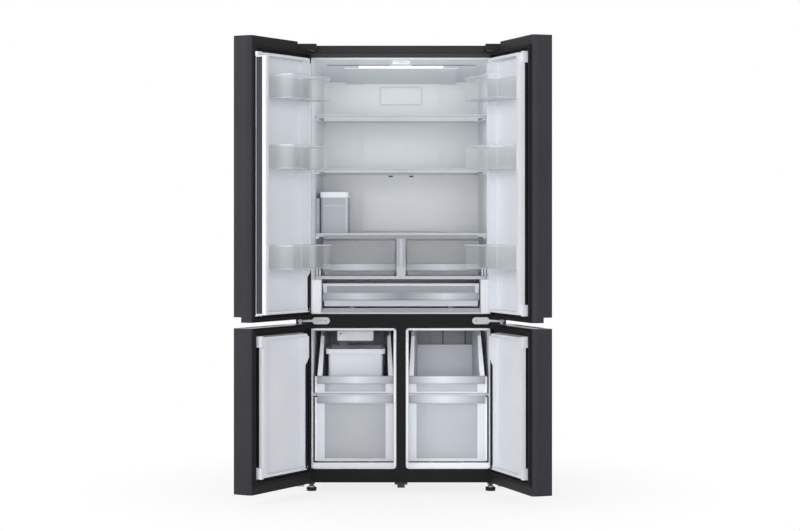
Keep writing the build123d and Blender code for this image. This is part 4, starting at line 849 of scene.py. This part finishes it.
def cheeks(bm, side):
    """Thick front edges on both side walls of an upper freezer drawer."""
    for outer, inward in ((DRAWER_FAR, -1), (DRAWER_NEAR, 1)):
        rings = []
        for z, width in ((457, 20), (540, 17), (612, 13)):
            y = raked(z)
            x0 = outer + inward * DRAWER_TAPER * (y - DRAWER_FRONT) / DRAWER_DEPTH
            x1 = x0 + inward * width
            ahead, behind = y - 2.5, y + 1
            corners = ((x0, ahead), (x1, ahead), (x1, behind), (x0, behind))
            rings.append([(side * x, edge, z) for x, edge in corners])
        loft(bm, rings)


def drawer_flange(bm, side, z0, z1):
    """A white flange that closes the gap beside a freezer drawer's front."""
    outline = rounded(*across(side, DRAWER_FAR, DRAWER_FAR + FLANGE), z0, z1, 2)
    prism(bm, outline, DRAWER_FRONT, DRAWER_FRONT + 4, "y")


for side, hand in SIDES.items():
    upper, lower = f"freezer_drawer_upper_{hand}", f"freezer_drawer_lower_{hand}"
    piece(f"drawer_cheeks_{hand}", upper, white_plastic,
          lambda bm: cheeks(bm, side), None, 0.8)
    piece(f"drawer_flange_upper_{hand}", upper, white_plastic,
          lambda bm: drawer_flange(bm, side, *FLANGE_UPPER_Z), None, 0.6)
    piece(f"drawer_flange_lower_{hand}", lower, white_plastic,
          lambda bm: drawer_flange(bm, side, *FLANGE_LOWER_Z), None, 0.6)


# Ice bin, and painted shade under the ice maker

RIM_Z = (541.5, 561.6)


def ice_rim(bm):
    """The ice bin's deep overhanging rim."""
    band(bm, rounded(-302, -64.5, -40, 218, 14), rounded(-295, -71.5, -33, 213, 10), *RIM_Z, "z")


def ice_shadows(bm):
    """Painted shade: a dark disc in the sensor's recess, and dark blocks under the ice maker where its shadow
    falls.
    """
    lathe(bm, (-242, -67.4, 624.5), (0, -1, 0), ((3.2, 0, 0), (3.2, 1.2, 0), (2.2, 1.9, 0)))
    shade_top = 597.4
    prism(bm, rounded(-250, -214, 576, shade_top, 2), -50, -10, "y")
    prism(bm, rounded(-212, -120, 590, shade_top, 2), -60, 20, "y")


piece("ice_bin_rim", "freezer_drawer_upper_left", bin_white, ice_rim, None, 0.8)
piece("ice_maker_shade", "cabinet", shade, ice_shadows)


# Lock nuts and screws

FOOT_X, FOOT_Y, NUT_Z = 357.5, -95, 14.2
NUT = ((10.2, 0, 0), (12.2, 0.5, 6), (12.2, 5.7, 6), (10.2, 6.2, 0))
SCREW = ((4.4, 0, 0), (4.4, 0.9, 0), (3.6, 1.7, 0), (2.1, 2.0, 6), (1.9, 0.9, 6))
UP, AHEAD, REARWARD = (0, 0, 1), (0, -1, 0), (0, 1, 0)


def screws(name, places, direction, material):
    """Domed screws with hex sockets, on both sides of the cabinet."""
    def fill(bm):
        """One screw at each place and at its mirror image."""
        for side in SIDES:
            for x, y, z in places:
                lathe(bm, (side * x, y, z), direction, SCREW)
    piece(name, "cabinet", material, fill)


for side, hand in SIDES.items():
    piece(f"foot_{hand}_nut", f"foot_{hand}", paint["hinge_steel"],
          lambda bm: lathe(bm, (side * FOOT_X, FOOT_Y, NUT_Z), UP, NUT, 24))
screws("middle_hinge_screws", [(x, -145, 680.7) for x in (299, 326)], AHEAD, pan_steel)
screws("back_panel_screws", [(400, BACK, z) for z in range(340, 1741, 280)], REARWARD, pan_steel)
screws("machine_cover_screws", [(x, BACK, z) for x in (400, 160) for z in (52, 288)], REARWARD, pan_steel)
screws("hinge_cover_screws", [(350, -172, 1776)], UP, paint["black_plastic"])


# Stage, lamps and camera

LAMPS = (
    # name, place, target, width, height, watts
    ("front_softbox", (0, -8.6, 1.7), (0, 0, 0.95), 5, 3, 228),
    ("left_softbox", (-5.5, -4.0, 2.4), (0, -0.2, 0.9), 3, 3, 182),
    ("right_softbox", (5.5, -4.0, 2.4), (0, -0.2, 0.9), 3, 3, 84),
    ("back_softbox", (0, 6.0, 3.6), (0, 0.3, 0.9), 5, 3, 150),
    ("fridge_lamp", (0, 0.0, 1.66), (0, 0.2, 0.9), 0.33, 0.05, 0.25),
    ("fridge_fill", (0, -0.16, 1.22), (0, 1, 1.22), 0.66, 0.95, 0.64),
    ("freezer_fill_left", (-0.19, -0.16, 0.37), (-0.19, 1, 0.37), 0.3, 0.5, 0.2),
    ("freezer_fill_right", (0.19, -0.16, 0.37), (0.19, 1, 0.37), 0.3, 0.5, 0.3),
)


def seen(tree):
    """Is 1 for the rays by which the camera, mirrors and glass see the stage, and 0 for its light."""
    rays = node(tree, "LightPath").outputs
    straight = calc(tree, "MAXIMUM", rays["Is Camera Ray"], rays["Is Glossy Ray"])
    return calc(tree, "MAXIMUM", straight, rays["Is Transmission Ray"])


def make_sky():
    """A sky that is seen as white and lights the object softly."""
    world = bpy.data.worlds.new("studio")
    bpy.context.scene.world = world
    world.use_nodes = True
    tree = world.node_tree
    strength = ramp(tree, seen(tree), 0.34, 1.0)
    feed(tree, tree.nodes["Background"], {"Color": (1, 1, 1, 1), "Strength": strength})


def floor_finish():
    """A pale floor that is seen as white away from the object, and keeps a share of its shadow near it."""
    m = bpy.data.materials.new("pale_floor")
    m.use_nodes = True
    tree = m.node_tree
    speckle = node(tree, "TexNoise", {"Scale": 40}).outputs["Fac"]
    tone = mix(tree, speckle, (0.93, 0.93, 0.93, 1), (0.96, 0.96, 0.96, 1))
    base = tree.nodes["Principled BSDF"]
    feed(tree, base, {"Base Color": tone, "Roughness": 0.9, "Specular IOR Level": 0.1})
    glow = node(tree, "Emission", {"Strength": 1.0})
    place = node(tree, "TexCoord").outputs["Object"]
    away = node(tree, "VectorMath", {0: place}, operation="LENGTH").outputs["Value"]
    share = calc(tree, "MULTIPLY", seen(tree), ramp(tree, away, 0.82, 1.0, 0.5, 1.3))
    both = node(tree, "MixShader", {"Fac": share, 1: base.outputs["BSDF"], 2: glow.outputs["Emission"]})
    feed(tree, tree.nodes["Material Output"], {"Surface": both.outputs["Shader"]})
    return m


def lay_floor():
    """The studio's floor."""
    bm = bmesh.new()
    bmesh.ops.create_grid(bm, x_segments=4, y_segments=4, size=30)
    mesh = bpy.data.meshes.new("studio_floor")
    bm.to_mesh(mesh)
    bm.free()
    mesh.materials.append(floor_finish())
    floor = bpy.data.objects.new("studio_floor", mesh)
    bpy.context.scene.collection.objects.link(floor)


def hang_lamps():
    """Soft lamps round the object and inside its two compartments."""
    for name, place, target, width, height, watts in LAMPS:
        lamp = bpy.data.lights.new(name, "AREA")
        lamp.shape = "RECTANGLE"
        lamp.size, lamp.size_y, lamp.energy = width, height, watts
        obj = bpy.data.objects.new(name, lamp)
        obj.visible_camera = False
        obj.location = place
        obj.rotation_euler = (Vector(target) - Vector(place)).to_track_quat("-Z", "Y").to_euler()
        bpy.context.scene.collection.objects.link(obj)


def place_camera():
    """The photograph's camera, level and straight in front."""
    eye = bpy.data.cameras.new("photo_camera")
    eye.sensor_width = 36
    eye.lens = 87.49
    eye.shift_x = -0.0013
    eye.shift_y = -0.0538
    obj = bpy.data.objects.new("photo_camera", eye)
    obj.location = (0, -7.866, 1.0713)
    obj.rotation_euler = (math.radians(90), 0, 0)
    bpy.context.scene.collection.objects.link(obj)
    bpy.context.scene.camera = obj


make_sky()
lay_floor()
hang_lamps()
place_camera()
bpy.context.scene.view_settings.view_transform = "Standard"
